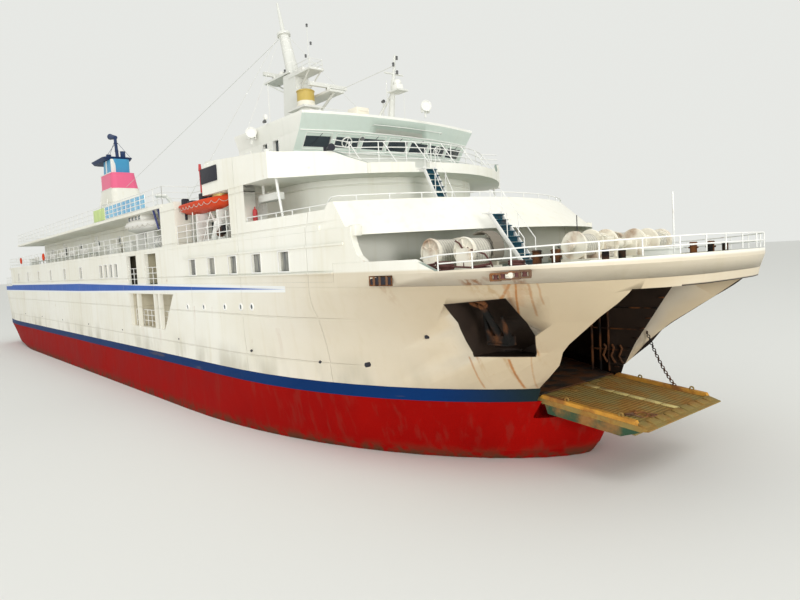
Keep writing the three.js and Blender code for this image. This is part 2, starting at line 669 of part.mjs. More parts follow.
// Small mast on the wheelhouse's roof: base plate, two stays, pole with its top, platform and crosstree.
// Block columns: low X, high X, low Y, high Y, low Z, high Z.
const roofMastBlocks = [
  [25.7, 27.2, -0.6, 0.6, roofTop + gap, roofTop + 0.08],
  [27.0, 27.8, -0.35, 0.35, 16.25, 16.33],
];
const roofMastBars = [
  [[26.0, -0.45, 14.9], [26.95, 0, 16.3], 0.07, 0.06, 8],
  [[26.0, 0.45, 14.9], [26.95, 0, 16.3], 0.07, 0.06, 8],
  [[26.75, 0, 14.9], [27.1, 0, 16.9], 0.16, 0.12, 12],
  [[27.08, 0, 16.8], [27.3, 0, 18.1], 0.1, 0.05, 8],
  [[27.15, -0.6, 17.2], [27.15, 0.6, 17.2], 0.05, 0.05, 6],
];

function roofMast() {
  return joined(...roofMastBlocks.map((box) => block(...box)), ...roofMastBars.map((bar) => rod(...bar)));
}

// Radar scanner: a pedestal that carries a bar, turning about its own upright axis.
const radarShape = {
  post: 0.35, postRadii: [0.16, 0.14], barLow: 0.3, barHigh: 0.52, barHalf: 0.09, clearance: 0.01,
};
// Radar columns: place of its axis on the platform, length of the bar.
const foreRadar = [[20.6, 0.5, mastPlatforms[2][4] + platformThickness + radarShape.clearance], 2.6];
const aftRadar = [[15.4, 0, mastPlatforms[0][4] + platformThickness + radarShape.clearance], 1.6];

function radarScanner([x, y, base], length) {
  const { post, postRadii, barLow, barHigh, barHalf } = radarShape;
  return joined(rod([x, y, base], [x, y, base + post], ...postRadii),
    block(x - barHalf, x + barHalf, y - length / 2, y + length / 2, base + barLow, base + barHigh));
}

// Funnel: plan sizes of its levels. Columns: height, aft X, fore X, half-breadth.
const funnelBase = [[bridgeDeckTop + gap, -21.5, -13.5, 2.1], [16.7, -20.2, -15.9, 1.4]];
const funnelRed = [[16.7 + gap, -20.1, -15.9, 1.38], [18.35, -20.6, -16.4, 1.2]];
const funnelBlue = [[18.35 + gap, -20.3, -17.1, 0.97], [19.8, -20.1, -16.9, 0.93]];
const funnelCapPlate = [[19.8 + gap, -22.6, -17.6, 1.3], [20.1, -22.9, -17.4, 1.5]];
const exhaustBars = [
  [[-17.8, 0.5, 20.0], [-17.8, 0.5, 20.7], 0.25, 0.25, 12],
  [[-19.6, -0.4, 20.0], [-19.6, -0.4, 20.6], 0.25, 0.25, 12],
  [[-18.0, 0, 20.0], [-18.3, 0, 22.3], 0.17, 0.15, 10],
  [[-18.1, 0, 22.2], [-19.9, 0, 22.6], 0.2, 0.3, 10],
];

// Corners of the funnel: their largest radius, the share of the half-breadth, and how far the middle of the
// bend lies from the corner.
const funnelCorner = { largest: 0.7, share: 0.45, bend: 0.29 };

function roundedPlan(aft, fore, half) {
  const corner = Math.min(half * funnelCorner.share, funnelCorner.largest);
  const bend = corner * funnelCorner.bend;
  return bothSides([
    [fore, half - corner], [fore - bend, half - bend], [fore - corner, half],
    [aft + corner, half], [aft + bend, half - bend], [aft, half - corner],
  ]);
}

function funnelPart(levels) {
  return stack(levels.map(([height, aft, fore, half]) => [height, roundedPlan(aft, fore, half)]));
}

function funnelCap() {
  return joined(funnelPart(funnelCapPlate), ...exhaustBars.map((bar) => rod(...bar)));
}

// A boat along X. Section columns: share of the length from the stern, share of the half-beam,
// keel height and gunwale height as shares of the depth.
const boatSections = [
  [0, 0.6, 0.25, 0.9], [0.12, 0.85, 0.08, 0.88], [0.4, 1, 0, 0.86], [0.7, 0.9, 0.02, 0.9],
  [0.9, 0.5, 0.14, 0.98], [1, 0.06, 0.5, 1.05],
];

// The bilge and the cover's shoulder, as shares of the half-breadth and of the height they stand in.
const bilge = { breadth: 0.7, rise: 0.35 };
const shoulder = { breadth: 0.8, rise: 0.75 };

function boat([sternAt, bowAt], [centreY, halfWidth], [keel, gunwale], crown) {
  const depth = gunwale - keel;
  return loft(boatSections.map(([along, breadth, keelShare, edgeShare]) => {
    const x = sternAt + (bowAt - sternAt) * along;
    const half = halfWidth * breadth;
    const low = keel + depth * keelShare;
    const edge = keel + depth * edgeShare;
    const crownRise = crown * breadth;
    const halfSection = [[half * bilge.breadth, low + (edge - low) * bilge.rise], [half, edge],
      [half * shoulder.breadth, edge + crownRise * shoulder.rise]];
    const portSide = halfSection.map(([y, z]) => [x, centreY + y, z]);
    const starboardSide = halfSection.map(([y, z]) => [x, centreY - y, z]).reverse();
    return [[x, centreY, low], ...portSide, [x, centreY, edge + crownRise], ...starboardSide];
  }));
}

// Boat columns: X of the stern and the bow; middle Y and half-width; keel and gunwale heights; rise of the
// cover.
const lifeboat = [[6.2, 10.7], [-6.55, 0.95], [10.6, 11.2], 0.42];
const rescueBoat = [[16.6, 22.3], [-6.9, 0.8], [10.95, 11.55], 0.1];
// Chock columns: X of each chock, Y, half-width.
const lifeboatChocks = [[7.3, 9.6], -6.55, 0.3];
const rescueChocks = [[18.6, 21.2], -6.9, 0.3];

const chockShape = {
  sillPast: 0.3, sillHalf: 0.12, sillHeight: 0.15, halfThickness: 0.1, keelClearance: 0.01,
};

function boatChocks([xs, y, width], keel) {
  const { sillPast, sillHalf, sillHeight, halfThickness, keelClearance } = chockShape;
  const low = boatDeckTop + gap;
  const sill = block(xs[0] - sillPast, xs[xs.length - 1] + sillPast, y - sillHalf, y + sillHalf, low,
    low + sillHeight);
  const chocks = xs.map((x) => block(x - halfThickness, x + halfThickness, y - width, y + width, low,
    keel - keelClearance));
  return joined(sill, ...chocks);
}

// Liferaft canisters lying on a rack at the ship's side.
const raftAt = { xs: [11.4, 12.8], y: -6.6 };
const raftShape = {
  rackPast: 0.7, rackHalf: 0.25, rackHeight: 0.12, axis: 0.42, halfLength: 0.55, radius: 0.34,
};

function raftRack() {
  const { xs, y } = raftAt;
  const { rackPast, rackHalf, rackHeight, axis, halfLength, radius } = raftShape;
  const base = boatDeckTop + gap;
  const rack = block(xs[0] - rackPast, xs[xs.length - 1] + rackPast, y - rackHalf, y + rackHalf, base,
    base + rackHeight);
  const canisters = xs.map((x) =>
    rod([x - halfLength, y, base + axis], [x + halfLength, y, base + axis], radius));
  return joined(rack, ...canisters);
}

// Single-arm davit for the rescue boat, turning on its post.
const davitAt = [16.75, -5.95];
const davitHook = [19.3, -6.9];
const davitArmZ = [12.4, 12.95];
const hookBottomZ = 12.15;
const davitBase = { gap: 0.36, seatTop: 0.35, seatRadii: [0.32, 0.26] };
const davitRadii = { post: [0.17, 0.14], arm: [0.13, 0.09], brace: 0.07, hook: 0.07 };
// Shares of the arm's length where it starts behind the post, where the brace meets it and where the
// hook hangs.
const davitShares = { heel: -0.04, brace: 0.5, hook: 0.97 };
const davitBraceDrop = 0.95;
const postIntoArm = 0.1;

function rescueDavit() {
  const [x, y] = davitAt;
  const [hookX, hookY] = davitHook;
  const [low, high] = davitArmZ;
  const along = (share) => [x + (hookX - x) * share, y + (hookY - y) * share];
  return joined(
    rod([x, y, boatDeckTop + davitBase.gap], [x, y, low + postIntoArm], ...davitRadii.post),
    rod([...along(davitShares.heel), low], [hookX, hookY, high], ...davitRadii.arm),
    rod([x, y, low - davitBraceDrop], [...along(davitShares.brace), (low + high) / 2], davitRadii.brace),
    rod([...along(davitShares.hook), high], [...along(davitShares.hook), hookBottomZ], davitRadii.hook),
  );
}

function davitSeat() {
  const [x, y] = davitAt;
  return rod([x, y, boatDeckTop + gap], [x, y, boatDeckTop + davitBase.seatTop], ...davitBase.seatRadii);
}

// Mooring winch: drum and end flanges on a bed plate, with its motor. Every place is measured from the
// winch's middle, outboard being positive. Flanges, drum and axle share one height.
const winchAt = [39.3, -1.7];
const winchBed = { halfX: 0.7, halfY: 1.3, height: 0.16 };
const winchAxle = { height: 0.62, radius: 0.12, halfLength: 1.4, sides: 10 };
const winchFlanges = { offsets: [-1.15, -0.2, 0.75], radius: 0.48, halfThickness: 0.05, sides: 20 };
const winchDrumRadius = 0.3;
const winchCheeks = { offsets: [-0.9, 0.15, 1.0], halfX: 0.25, halfY: 0.06, aboveAxle: 0.08 };
const winchMotor = { halfX: 0.38, from: 0.22, to: 0.65, aboveAxle: 0.25 };
const footing = 0.1;

function mooringWinch([x, y]) {
  const bed = block(x - winchBed.halfX, x + winchBed.halfX, y - winchBed.halfY, y + winchBed.halfY,
    foredeckTop + gap, foredeckTop + winchBed.height);
  const axleZ = foredeckTop + winchAxle.height;
  const across = (from, to, radius, sides) =>
    rod([x, y + from, axleZ], [x, y + to, axleZ], radius, radius, sides);
  const axle = across(-winchAxle.halfLength, winchAxle.halfLength, winchAxle.radius, winchAxle.sides);
  const flanges = winchFlanges.offsets.map((offset) => across(offset - winchFlanges.halfThickness,
    offset + winchFlanges.halfThickness, winchFlanges.radius, winchFlanges.sides));
  const [drumFrom, drumTo] = winchFlanges.offsets;
  const winchDrum = across(drumFrom, drumTo, winchDrumRadius, winchFlanges.sides);
  const cheeks = winchCheeks.offsets.map((offset) => block(x - winchCheeks.halfX, x + winchCheeks.halfX,
    y + offset - winchCheeks.halfY, y + offset + winchCheeks.halfY, foredeckTop + footing,
    axleZ + winchCheeks.aboveAxle));
  const motor = block(x - winchMotor.halfX, x + winchMotor.halfX, y + winchMotor.from, y + winchMotor.to,
    foredeckTop + footing, axleZ + winchMotor.aboveAxle);
  return joined(bed, axle, ...flanges, winchDrum, ...cheeks, motor);
}

// Rope reel: a drum between two flanges on a stand. Columns: X, Y, flange radius, length of the drum
// along Y.
const ropeReels = [
  [35.2, -4.9, 0.5, 1.3], [36.8, -4.9, 0.48, 1.2], [36.9, 4.3, 0.5, 1.3], [38.3, 4.3, 0.5, 1.1],
  [37.3, 0.4, 0.42, 1.1],
];
const reelShape = {
  clearance: 0.15, flangeHalf: 0.05, drumShare: 0.78, axlePast: 0.15, axleRadius: 0.1, standPast: 0.1,
  standHalfX: 0.3, standHalfY: 0.05, standAbove: 0.1, bedHalfX: 0.4, bedPast: 0.2, bedHeight: 0.1, sides: 22,
  axleSides: 8,
};

function ropeReel([x, y, radius, length]) {
  const shape = reelShape;
  const axleZ = foredeckTop + radius + shape.clearance;
  const half = length / 2;
  const across = (from, to, size, sides) => rod([x, y + from, axleZ], [x, y + to, axleZ], size, size, sides);
  const flanges = [-half, half].map((at) =>
    across(at - shape.flangeHalf, at + shape.flangeHalf, radius, shape.sides));
  const reelDrum = across(-half, half, radius * shape.drumShare, shape.sides);
  const axle = across(-half - shape.axlePast, half + shape.axlePast, shape.axleRadius, shape.axleSides);
  const stand = [-half - shape.standPast, half + shape.standPast].map((at) => block(x - shape.standHalfX,
    x + shape.standHalfX, y + at - shape.standHalfY, y + at + shape.standHalfY,
    foredeckTop + shape.bedHeight / 2, axleZ + shape.standAbove));
  const bedHalfY = half + shape.bedPast;
  const bed = block(x - shape.bedHalfX, x + shape.bedHalfX, y - bedHalfY, y + bedHalfY, foredeckTop + gap,
    foredeckTop + shape.bedHeight);
  return joined(bed, reelDrum, ...flanges, ...stand, axle);
}

// Twin bollards on one bed plate.
const bollardsAt = [39.9, -5.2];
const bollardShape = {
  bedHalfX: 0.6, bedHalfY: 0.25, bedHeight: 0.08, spread: 0.35, low: 0.05, high: 0.5, radius: 0.14,
};

function bollards([x, y]) {
  const { bedHalfX, bedHalfY, bedHeight, spread, low, high, radius } = bollardShape;
  const bed = block(x - bedHalfX, x + bedHalfX, y - bedHalfY, y + bedHalfY, foredeckTop + gap,
    foredeckTop + bedHeight);
  const posts = [-spread, spread].map((offset) =>
    rod([x + offset, y, foredeckTop + low], [x + offset, y, foredeckTop + high], radius));
  return joined(bed, ...posts);
}

// Inclined ladder between two decks: side plates with treads, running down from aft to forward.
const ladderShape = {
  steps: 8, firstStep: 0.6, halfWidth: 0.31, plateHalf: 0.035, narrowSide: 0.12, wideSide: 0.22,
  treadAft: 0.12, treadFore: 0.14, treadBelow: 0.03, treadAbove: 0.02,
};

// Ladder columns: X and Z of its top, X and Z of its foot, Y of its middle.
const upperLadder = [[31.4, 11.8], [32.6, boatDeckTop + gap], -1.9];
const lowerLadder = [[36.3, boatDeckTop], [37.8, foredeckTop + gap], -3.35];

function inclinedLadder([topX, topZ], [footX, footZ], y) {
  const shape = ladderShape;
  const plates = [-shape.halfWidth, shape.halfWidth].map((side) =>
    sidePrism([[topX - shape.narrowSide, topZ], [footX - shape.wideSide, footZ],
      [footX + shape.narrowSide, footZ], [topX + shape.wideSide, topZ]], y + side - shape.plateHalf,
      y + side + shape.plateHalf));
  const treads = Array.from({ length: shape.steps }, (_, i) => {
    const along = (i + shape.firstStep) / shape.steps;
    const x = topX + (footX - topX) * along;
    const z = topZ + (footZ - topZ) * along;
    return block(x - shape.treadAft, x + shape.treadFore, y - shape.halfWidth, y + shape.halfWidth,
      z - shape.treadBelow, z + shape.treadAbove);
  });
  return joined(plates[0], plates[1], ...treads);
}

// Stockless anchor, held in the pocket: shank, crown and two flukes.
const anchorShape = {
  x: 37.5, topY: -5.6, footY: -4.65, topZ: 6.3, footZ: 5.05, shankRadii: [0.11, 0.13], crownHalf: 0.5,
  crownOut: 0.2, crownIn: 0.15, crownBelow: 0.2, crownAbove: 0.1, flukeSpread: 0.4, flukeOut: [0.1, 0.4],
  flukeRise: 0.8, flukeRadii: [0.15, 0.04], flukeSides: 6,
};

function anchor() {
  const { x, footY, footZ, crownHalf, flukeOut } = anchorShape;
  const shank = rod([x, anchorShape.topY, anchorShape.topZ], [x, footY, footZ], ...anchorShape.shankRadii);
  const crown = block(x - crownHalf, x + crownHalf, footY - anchorShape.crownOut,
    footY + anchorShape.crownIn, footZ - anchorShape.crownBelow, footZ + anchorShape.crownAbove);
  const flukes = [-anchorShape.flukeSpread, anchorShape.flukeSpread].map((offset) =>
    rod([x + offset, footY - flukeOut[0], footZ], [x + offset, footY - flukeOut[1],
      footZ + anchorShape.flukeRise], ...anchorShape.flukeRadii, anchorShape.flukeSides));
  return joined(shank, crown, ...flukes);
}

// Bow ramp, lowered: plate with its end flap, girders at the sides and yellow kerbs on top.
const bowHinge = [37.3, 2.52];
const rampPitch = (6 * Math.PI) / 180;
const rampHalf = 2.6;
const rampLength = 4.05;
const rampToe = 0.3;
const rampPlate = { under: -0.1, top: 0.08 };
const hingeBarrel = { radius: 0.1, endInset: 0.1 };
const rampRibs = { firstX: 0.7, pitch: 0.75, count: 5, width: 0.12, inset: 0.16, under: -0.32, top: -0.05 };
const toeTip = 0.02;
const overlap = 0.01;

function rampPlaced(geometry) {
  return geometry.rotateY(rampPitch).translate(bowHinge[0], 0, bowHinge[1]);
}

function bowRampPlate() {
  const { under, top } = rampPlate;
  const plate = block(0, rampLength, -rampHalf, rampHalf, under, top);
  const barrelHalf = rampHalf - hingeBarrel.endInset;
  const barrel = rod([0, -barrelHalf, 0], [0, barrelHalf, 0], hingeBarrel.radius);
  const ribs = Array.from({ length: rampRibs.count }, (_, i) => {
    const x = rampRibs.firstX + i * rampRibs.pitch;
    return block(x, x + rampRibs.width, -rampHalf + rampRibs.inset, rampHalf - rampRibs.inset,
      rampRibs.under, rampRibs.top);
  });
  const toe = sidePrism([[rampLength - overlap, under], [rampLength + rampToe, -toeTip],
    [rampLength + rampToe, toeTip], [rampLength - overlap, top]], -rampHalf, rampHalf);
  return rampPlaced(joined(plate, barrel, ...ribs, toe));
}

// The girder below the ramp's edge and the kerb above it, as X and Z from the hinge.
const girderProfile = [[0.35, rampPlate.under - gap], [0.5, -0.42], [3.4, -0.42], [rampLength, -0.12],
  [rampLength, rampPlate.under - gap]];
const girderThickness = 0.12;
const kerbProfile = [[0.1, rampPlate.top + gap], [3.95, rampPlate.top + gap], [3.85, 0.22], [0.2, 0.22]];
const kerbThickness = 0.18;

function bowRampSide() {
  return rampPlaced(sidePrism(girderProfile, -rampHalf, -rampHalf + girderThickness));
}

function bowRampKerb() {
  return rampPlaced(sidePrism(kerbProfile, -rampHalf, -rampHalf + kerbThickness));
}

// Stern ramp, closed: a ribbed plate in the transom.
const sternHinge = [sternX + 0.1, 2.78];
const sternRampHalf = 2.65;
const sternPlate = { outer: 0.1, inner: 0.06, top: 6.8 };
const sternRibs = { count: 5, firstY: -2.35, pitch: 1.12, width: 0.12, depth: 0.18, low: 3.08, high: 6.6 };

function sternRamp() {
  const [x, z] = sternHinge;
  const plate = block(x - sternPlate.outer, x + sternPlate.inner, -sternRampHalf, sternRampHalf, z,
    sternPlate.top);
  const barrelHalf = sternRampHalf - hingeBarrel.endInset;
  const barrel = rod([x, -barrelHalf, z], [x, barrelHalf, z], hingeBarrel.radius);
  const ribs = Array.from({ length: sternRibs.count }, (_, i) => {
    const y = sternRibs.firstY + i * sternRibs.pitch;
    return block(x, x + sternRibs.depth, y, y + sternRibs.width, sternRibs.low, sternRibs.high);
  });
  return joined(plate, barrel, ...ribs);
}

// Propeller with four blades and a hub, and the rudder behind it.
const propellerRadius = 0.93;
const bladeCount = 4;
const hub = { front: shaftEndX - 0.02, length: 0.75, radii: [0.22, 0.12], bladeAt: 0.36 };
const blade = { thickness: 0.06, pitch: 0.85, segments: 4 };
// Outline of a blade as offsets along the shaft and out from it: root, bulge and tip of both edges.
const bladeEdges = { leadRoot: [-0.12, 0.05], leadBulge: [-0.42, 0.6], tip: [-0.1, propellerRadius],
  trailBulge: [0.45, 0.85], trailRoot: [0.12, 0.05] };

function propeller(side) {
  const blades = Array.from({ length: bladeCount }, (_, i) => {
    const outline = new THREE.Shape();
    outline.moveTo(...bladeEdges.leadRoot);
    outline.quadraticCurveTo(...bladeEdges.leadBulge, ...bladeEdges.tip);
    outline.quadraticCurveTo(...bladeEdges.trailBulge, ...bladeEdges.trailRoot);
    const shape = new THREE.ExtrudeGeometry(outline, { depth: blade.thickness, bevelEnabled: false,
      curveSegments: blade.segments });
    shape.translate(0, 0, -blade.thickness / 2).rotateX(Math.PI / 2).rotateZ(side * blade.pitch);
    return shape.translate(hub.front - hub.bladeAt, 0, 0).rotateX((2 * Math.PI * i) / bladeCount);
  });
  const boss = rod([hub.front, 0, 0], [hub.front - hub.length, 0, 0], ...hub.radii);
  return joined(boss, ...blades).translate(0, side * shaftY, shaftZ);
}

// Half of the rudder's plan: distance ahead of its axis, half-thickness.
const rudderPlan = [[0.5, 0.06], [0.3, 0.13], [-0.3, 0.13], [-1.15, 0.03]];
const rudderHeights = { bottom: -2.75, top: -1.05, stockFoot: -1.2, clearance: 0.02, stockRadius: 0.14 };

function rudder(side) {
  const y = side * shaftY;
  const plan = bothSides(rudderPlan).map(([ahead, offset]) => [rudderX + ahead, offset + y]);
  const { bottom, top, stockFoot, clearance, stockRadius } = rudderHeights;
  const stock = rod([rudderX, y, stockFoot], [rudderX, y, rudderTrunk.bottom - clearance], stockRadius);
  return joined(prism(plan, bottom, top), stock);
}

addPiece("hull_bottom", hullBottom(), "antifouling");
addPair("hull_band", bootBand(sternX - past, bandButtX), "bootBlue");
addPair("hull_band_bow", bootBand(bandButtX + gap, stemX), "bootBlue");
addPiece("hull_sides", hullSides(), "shipWhite");
addPiece("car_deck", carDeck(), "steelGrey");
addPiece("main_deck", mainDeck(), "shipWhite");
addPiece("foredeck", foredeck(), "shipWhite");
addPiece("saloon_walls", saloonWalls(), "shipWhite");
addPiece("boat_deck", boatDeck(), "shipWhite");
addPiece("cabin_walls", cabinWalls(), "shipWhite");
addPiece("bridge_deck", bridgeDeck(), "shipWhite");
addPiece("wheelhouse_walls", wheelhouseWalls(), "shipWhite");
addPiece("wheelhouse_glass", wheelhouseGlass(), "glass");
addPiece("wheelhouse_roof", wheelhouseRoof(), "browGrey");
addPiece("main_mast", mainMast(), "shipWhite");
addPiece("roof_mast", roofMast(), "shipWhite");
addPiece("satellite_drum", satelliteDrum(), "kerbYellow");
addPiece("radar_fore", radarScanner(...foreRadar), "shipWhite");
addPiece("radar_aft", radarScanner(...aftRadar), "shipWhite");
addPiece("funnel_base", funnelPart(funnelBase), "shipWhite");
addPiece("funnel_red_band", funnelPart(funnelRed), "funnelRed");
addPiece("funnel_blue_band", funnelPart(funnelBlue), "funnelBlue");
addPiece("funnel_cap", funnelCap(), "funnelDark");
addPiece("rescue_boat", boat(...rescueBoat), "rescueOrange");
addPiece("rescue_boat_chocks", boatChocks(rescueChocks, rescueBoat[2][0]), "steelGrey");
addPair("lifeboat", boat(...lifeboat), "boatWhite");
addPair("lifeboat_chocks", boatChocks(lifeboatChocks, lifeboat[2][0]), "steelGrey");
addPair("raft_rack", raftRack(), "boatWhite");
addPiece("rescue_davit", rescueDavit(), "shipWhite");
addPiece("davit_seat", davitSeat(), "shipWhite");
addPair("mooring_winch", mooringWinch(winchAt), "shipWhite");
for (const [index, reel] of ropeReels.entries()) {
  addPiece(`rope_reel_${index + 1}`, ropeReel(reel), "boatWhite");
}
addPair("bollards", bollards(bollardsAt), "anchorBlack");
addPiece("ladder_upper", inclinedLadder(...upperLadder), "stairBlue");
addPiece("ladder_lower", inclinedLadder(...lowerLadder), "stairBlue");
addPair("anchor", anchor(), "anchorBlack");
addPiece("bow_ramp_plate", bowRampPlate(), "steelGrey");
addPair("bow_ramp_side", bowRampSide(), "rampGreen");
addPair("bow_ramp_kerb", bowRampKerb(), "kerbYellow");
addPiece("stern_ramp", sternRamp(), "steelGrey");
addPiece("propeller_starboard", propeller(-1), "bronze");
addPiece("propeller_port", propeller(1), "bronze");
addPiece("rudder_starboard", rudder(-1), "antifouling");
addPiece("rudder_port", rudder(1), "antifouling");

export default ferry;
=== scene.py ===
import json
import math
import random

import bpy
from mathutils import Matrix, Vector

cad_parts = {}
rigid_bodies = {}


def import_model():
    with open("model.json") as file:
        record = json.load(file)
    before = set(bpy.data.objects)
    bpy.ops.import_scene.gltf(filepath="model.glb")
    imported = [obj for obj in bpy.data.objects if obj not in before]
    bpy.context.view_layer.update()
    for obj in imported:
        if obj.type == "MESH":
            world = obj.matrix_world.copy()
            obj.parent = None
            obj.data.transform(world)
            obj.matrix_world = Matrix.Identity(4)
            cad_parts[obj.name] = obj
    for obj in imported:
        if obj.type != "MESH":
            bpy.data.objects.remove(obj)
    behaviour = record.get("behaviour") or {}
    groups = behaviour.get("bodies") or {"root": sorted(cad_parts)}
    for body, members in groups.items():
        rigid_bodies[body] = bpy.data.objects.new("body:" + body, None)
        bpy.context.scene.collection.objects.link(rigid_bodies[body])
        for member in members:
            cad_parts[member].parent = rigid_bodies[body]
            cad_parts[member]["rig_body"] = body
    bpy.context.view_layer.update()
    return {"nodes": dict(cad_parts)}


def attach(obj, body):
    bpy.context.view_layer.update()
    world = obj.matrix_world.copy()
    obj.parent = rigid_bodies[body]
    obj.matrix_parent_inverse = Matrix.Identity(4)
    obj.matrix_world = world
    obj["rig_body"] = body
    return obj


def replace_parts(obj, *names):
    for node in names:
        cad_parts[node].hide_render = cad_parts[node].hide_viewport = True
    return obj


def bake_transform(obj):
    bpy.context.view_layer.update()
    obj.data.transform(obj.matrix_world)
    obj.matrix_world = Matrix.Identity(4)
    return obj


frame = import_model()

# Sizes are written in metres of the full-size ship, as its drawings would have them, and the model is 1:10.
shipMetre = 0.1
nodes = frame["nodes"]
chance = random.Random(7)


def modelPlace(point):
    return Vector(point) * shipMetre


# Finishes


class Value:  # one socket, so that a finish can be written as sums
    def __init__(self, finish, socket):
        self.finish = finish
        self.socket = socket

    def __add__(self, other):
        return self.finish.math("ADD", self, other)

    __radd__ = __add__

    def __sub__(self, other):
        return self.finish.math("SUBTRACT", self, other)

    def __rsub__(self, other):
        return self.finish.math("SUBTRACT", other, self)

    def __mul__(self, other):
        return self.finish.math("MULTIPLY", self, other)

    __rmul__ = __mul__

    def __truediv__(self, other):
        return self.finish.math("DIVIDE", self, other)

    def __mod__(self, other):
        return self.finish.math("FLOORED_MODULO", self, other)

    def __abs__(self):
        return self.finish.math("ABSOLUTE", self)

    def least(self, other):
        return self.finish.math("MINIMUM", self, other)

    def most(self, other):
        return self.finish.math("MAXIMUM", self, other)

    def rise(self, low, high):  # 0 below low, 1 above high
        return self.finish.node("ShaderNodeMapRange", {"interpolation_type": "SMOOTHSTEP"},
                                {"Value": self, "From Min": low, "From Max": high})

    def within(self, low, high, soft):
        return self.rise(low - soft, low + soft) * (1 - self.rise(high - soft, high + soft))


class Finish:
    def __init__(self, name):
        self.material = bpy.data.materials.new(name)
        self.material.use_nodes = True
        self.tree = self.material.node_tree
        self.tree.nodes.clear()
        self.surface = self.tree.nodes.new("ShaderNodeBsdfPrincipled")
        output = self.tree.nodes.new("ShaderNodeOutputMaterial")
        self.tree.links.new(self.surface.outputs[0], output.inputs[0])
        place = self.node("ShaderNodeTexCoord", output="Object")
        self.normal = Value(self, place.socket.node.outputs["Normal"])
        self.flatNormal = self.node("ShaderNodeNewGeometry", output="True Normal")
        self.place = self.node("ShaderNodeMapping", sockets={"Vector": place, "Scale": [1 / shipMetre] * 3})

    def node(self, kind, settings=None, sockets=None, output=0):
        made = self.tree.nodes.new(kind)
        for name, value in (settings or {}).items():
            if name == "stops":
                for stop, (position, colour) in zip(made.color_ramp.elements, value):
                    stop.position = position
                    stop.color = (*colour, 1)
            else:
                setattr(made, name, value)
        for name, value in (sockets or {}).items():
            self.feed(made.inputs[name], value)
        return Value(self, made.outputs[output])

    def feed(self, socket, value):
        if isinstance(value, Value):
            self.tree.links.new(value.socket, socket)
        elif value is not None:
            socket.default_value = (*value, 1) if socket.type == "RGBA" and len(value) == 3 else value

    def math(self, operation, first, second=None):
        return self.node("ShaderNodeMath", {"operation": operation}, {0: first, 1: second})

    def axes(self, vector):
        split = self.node("ShaderNodeSeparateXYZ", sockets={0: vector})
        return [Value(self, output) for output in split.socket.node.outputs]

    def noise(self, size, detail=3, stretch=(1, 1, 1)):  # 0 to 1, with lumps of that size in ship metres
        place = self.node("ShaderNodeMapping",
                          sockets={"Vector": self.place, "Scale": [1 / s for s in stretch]})
        return self.node("ShaderNodeTexNoise", sockets={"Vector": place, "Scale": 1 / size, "Detail": detail})

    def blend(self, share, first, second):
        return self.node("ShaderNodeMix", {"data_type": "RGBA"}, {0: share, 6: first, 7: second}, output=2)

    def bumps(self, height, depth):  # depth in ship metres
        return self.node("ShaderNodeBump",
                         sockets={"Height": height, "Strength": 1.0, "Distance": depth * shipMetre})

    def wear(self, **sockets):
        for name, value in sockets.items():
            self.feed(self.surface.inputs[name.replace("_", " ")], value)
        return self


rustBrown = (0.24, 0.085, 0.025)
rustLight = (0.50, 0.22, 0.07)


def plainPaint(name, colour, roughness=0.45, variation=0.12, rust=0.25, rustSize=1.2, shine=0.35):
    finish = Finish(name)
    dark = [c * (1 - variation) for c in colour]
    cloud = finish.noise(2.5, 4)
    speck = finish.noise(rustSize, 6)
    run = finish.noise(0.5, 4, (1, 1, 9))
    mask = (speck.rise(0.60, 0.72) * run.rise(0.45, 0.62)) * rust
    tint = finish.blend(cloud, dark, colour)
    finish.wear(Base_Color=finish.blend(mask, tint, rustBrown),
                Roughness=roughness + 0.25 * mask + 0.1 * cloud,
                Specular_IOR_Level=shine, Normal=finish.bumps(finish.noise(0.12, 3) + 2 * speck, 0.01))
    return finish


# Blue stripe along the white side: lower edge, upper edge aft, where it begins to taper and where it ends.
stripe = {"low": 6.72, "high": 7.32, "taperFrom": -6.0, "tip": 28.2, "tipHeight": 6.92, "border": 0.13}
# Rust below fittings. Columns: X, half-width, top, how far it runs down, strength.
rustRuns = [
    (38.2, 0.5, 7.2, 1.0, 0.9), (38.6, 0.22, 7.0, 3.2, 0.9), (39.6, 0.30, 7.2, 1.6, 0.7),
    (37.3, 0.12, 4.3, 1.5, 0.9),
    (36.45, 0.12, 4.4, 1.6, 0.6), (38.35, 0.15, 5.6, 2.4, 0.7), (34.6, 0.35, 7.0, 1.0, 0.35),
    (18.2, 0.15, 6.0, 1.6, 0.22), (20.5, 0.15, 6.0, 1.4, 0.2), (9.4, 0.5, 4.4, 1.3, 0.3),
    (12.6, 0.4, 4.4, 1.2, 0.3),
    (27.0, 0.3, 5.2, 2.0, 0.15), (-6.0, 0.4, 6.6, 2.8, 0.3), (-18.0, 0.3, 6.6, 2.2, 0.25),
    (-31.0, 0.4, 6.6, 3.0, 0.35),
]
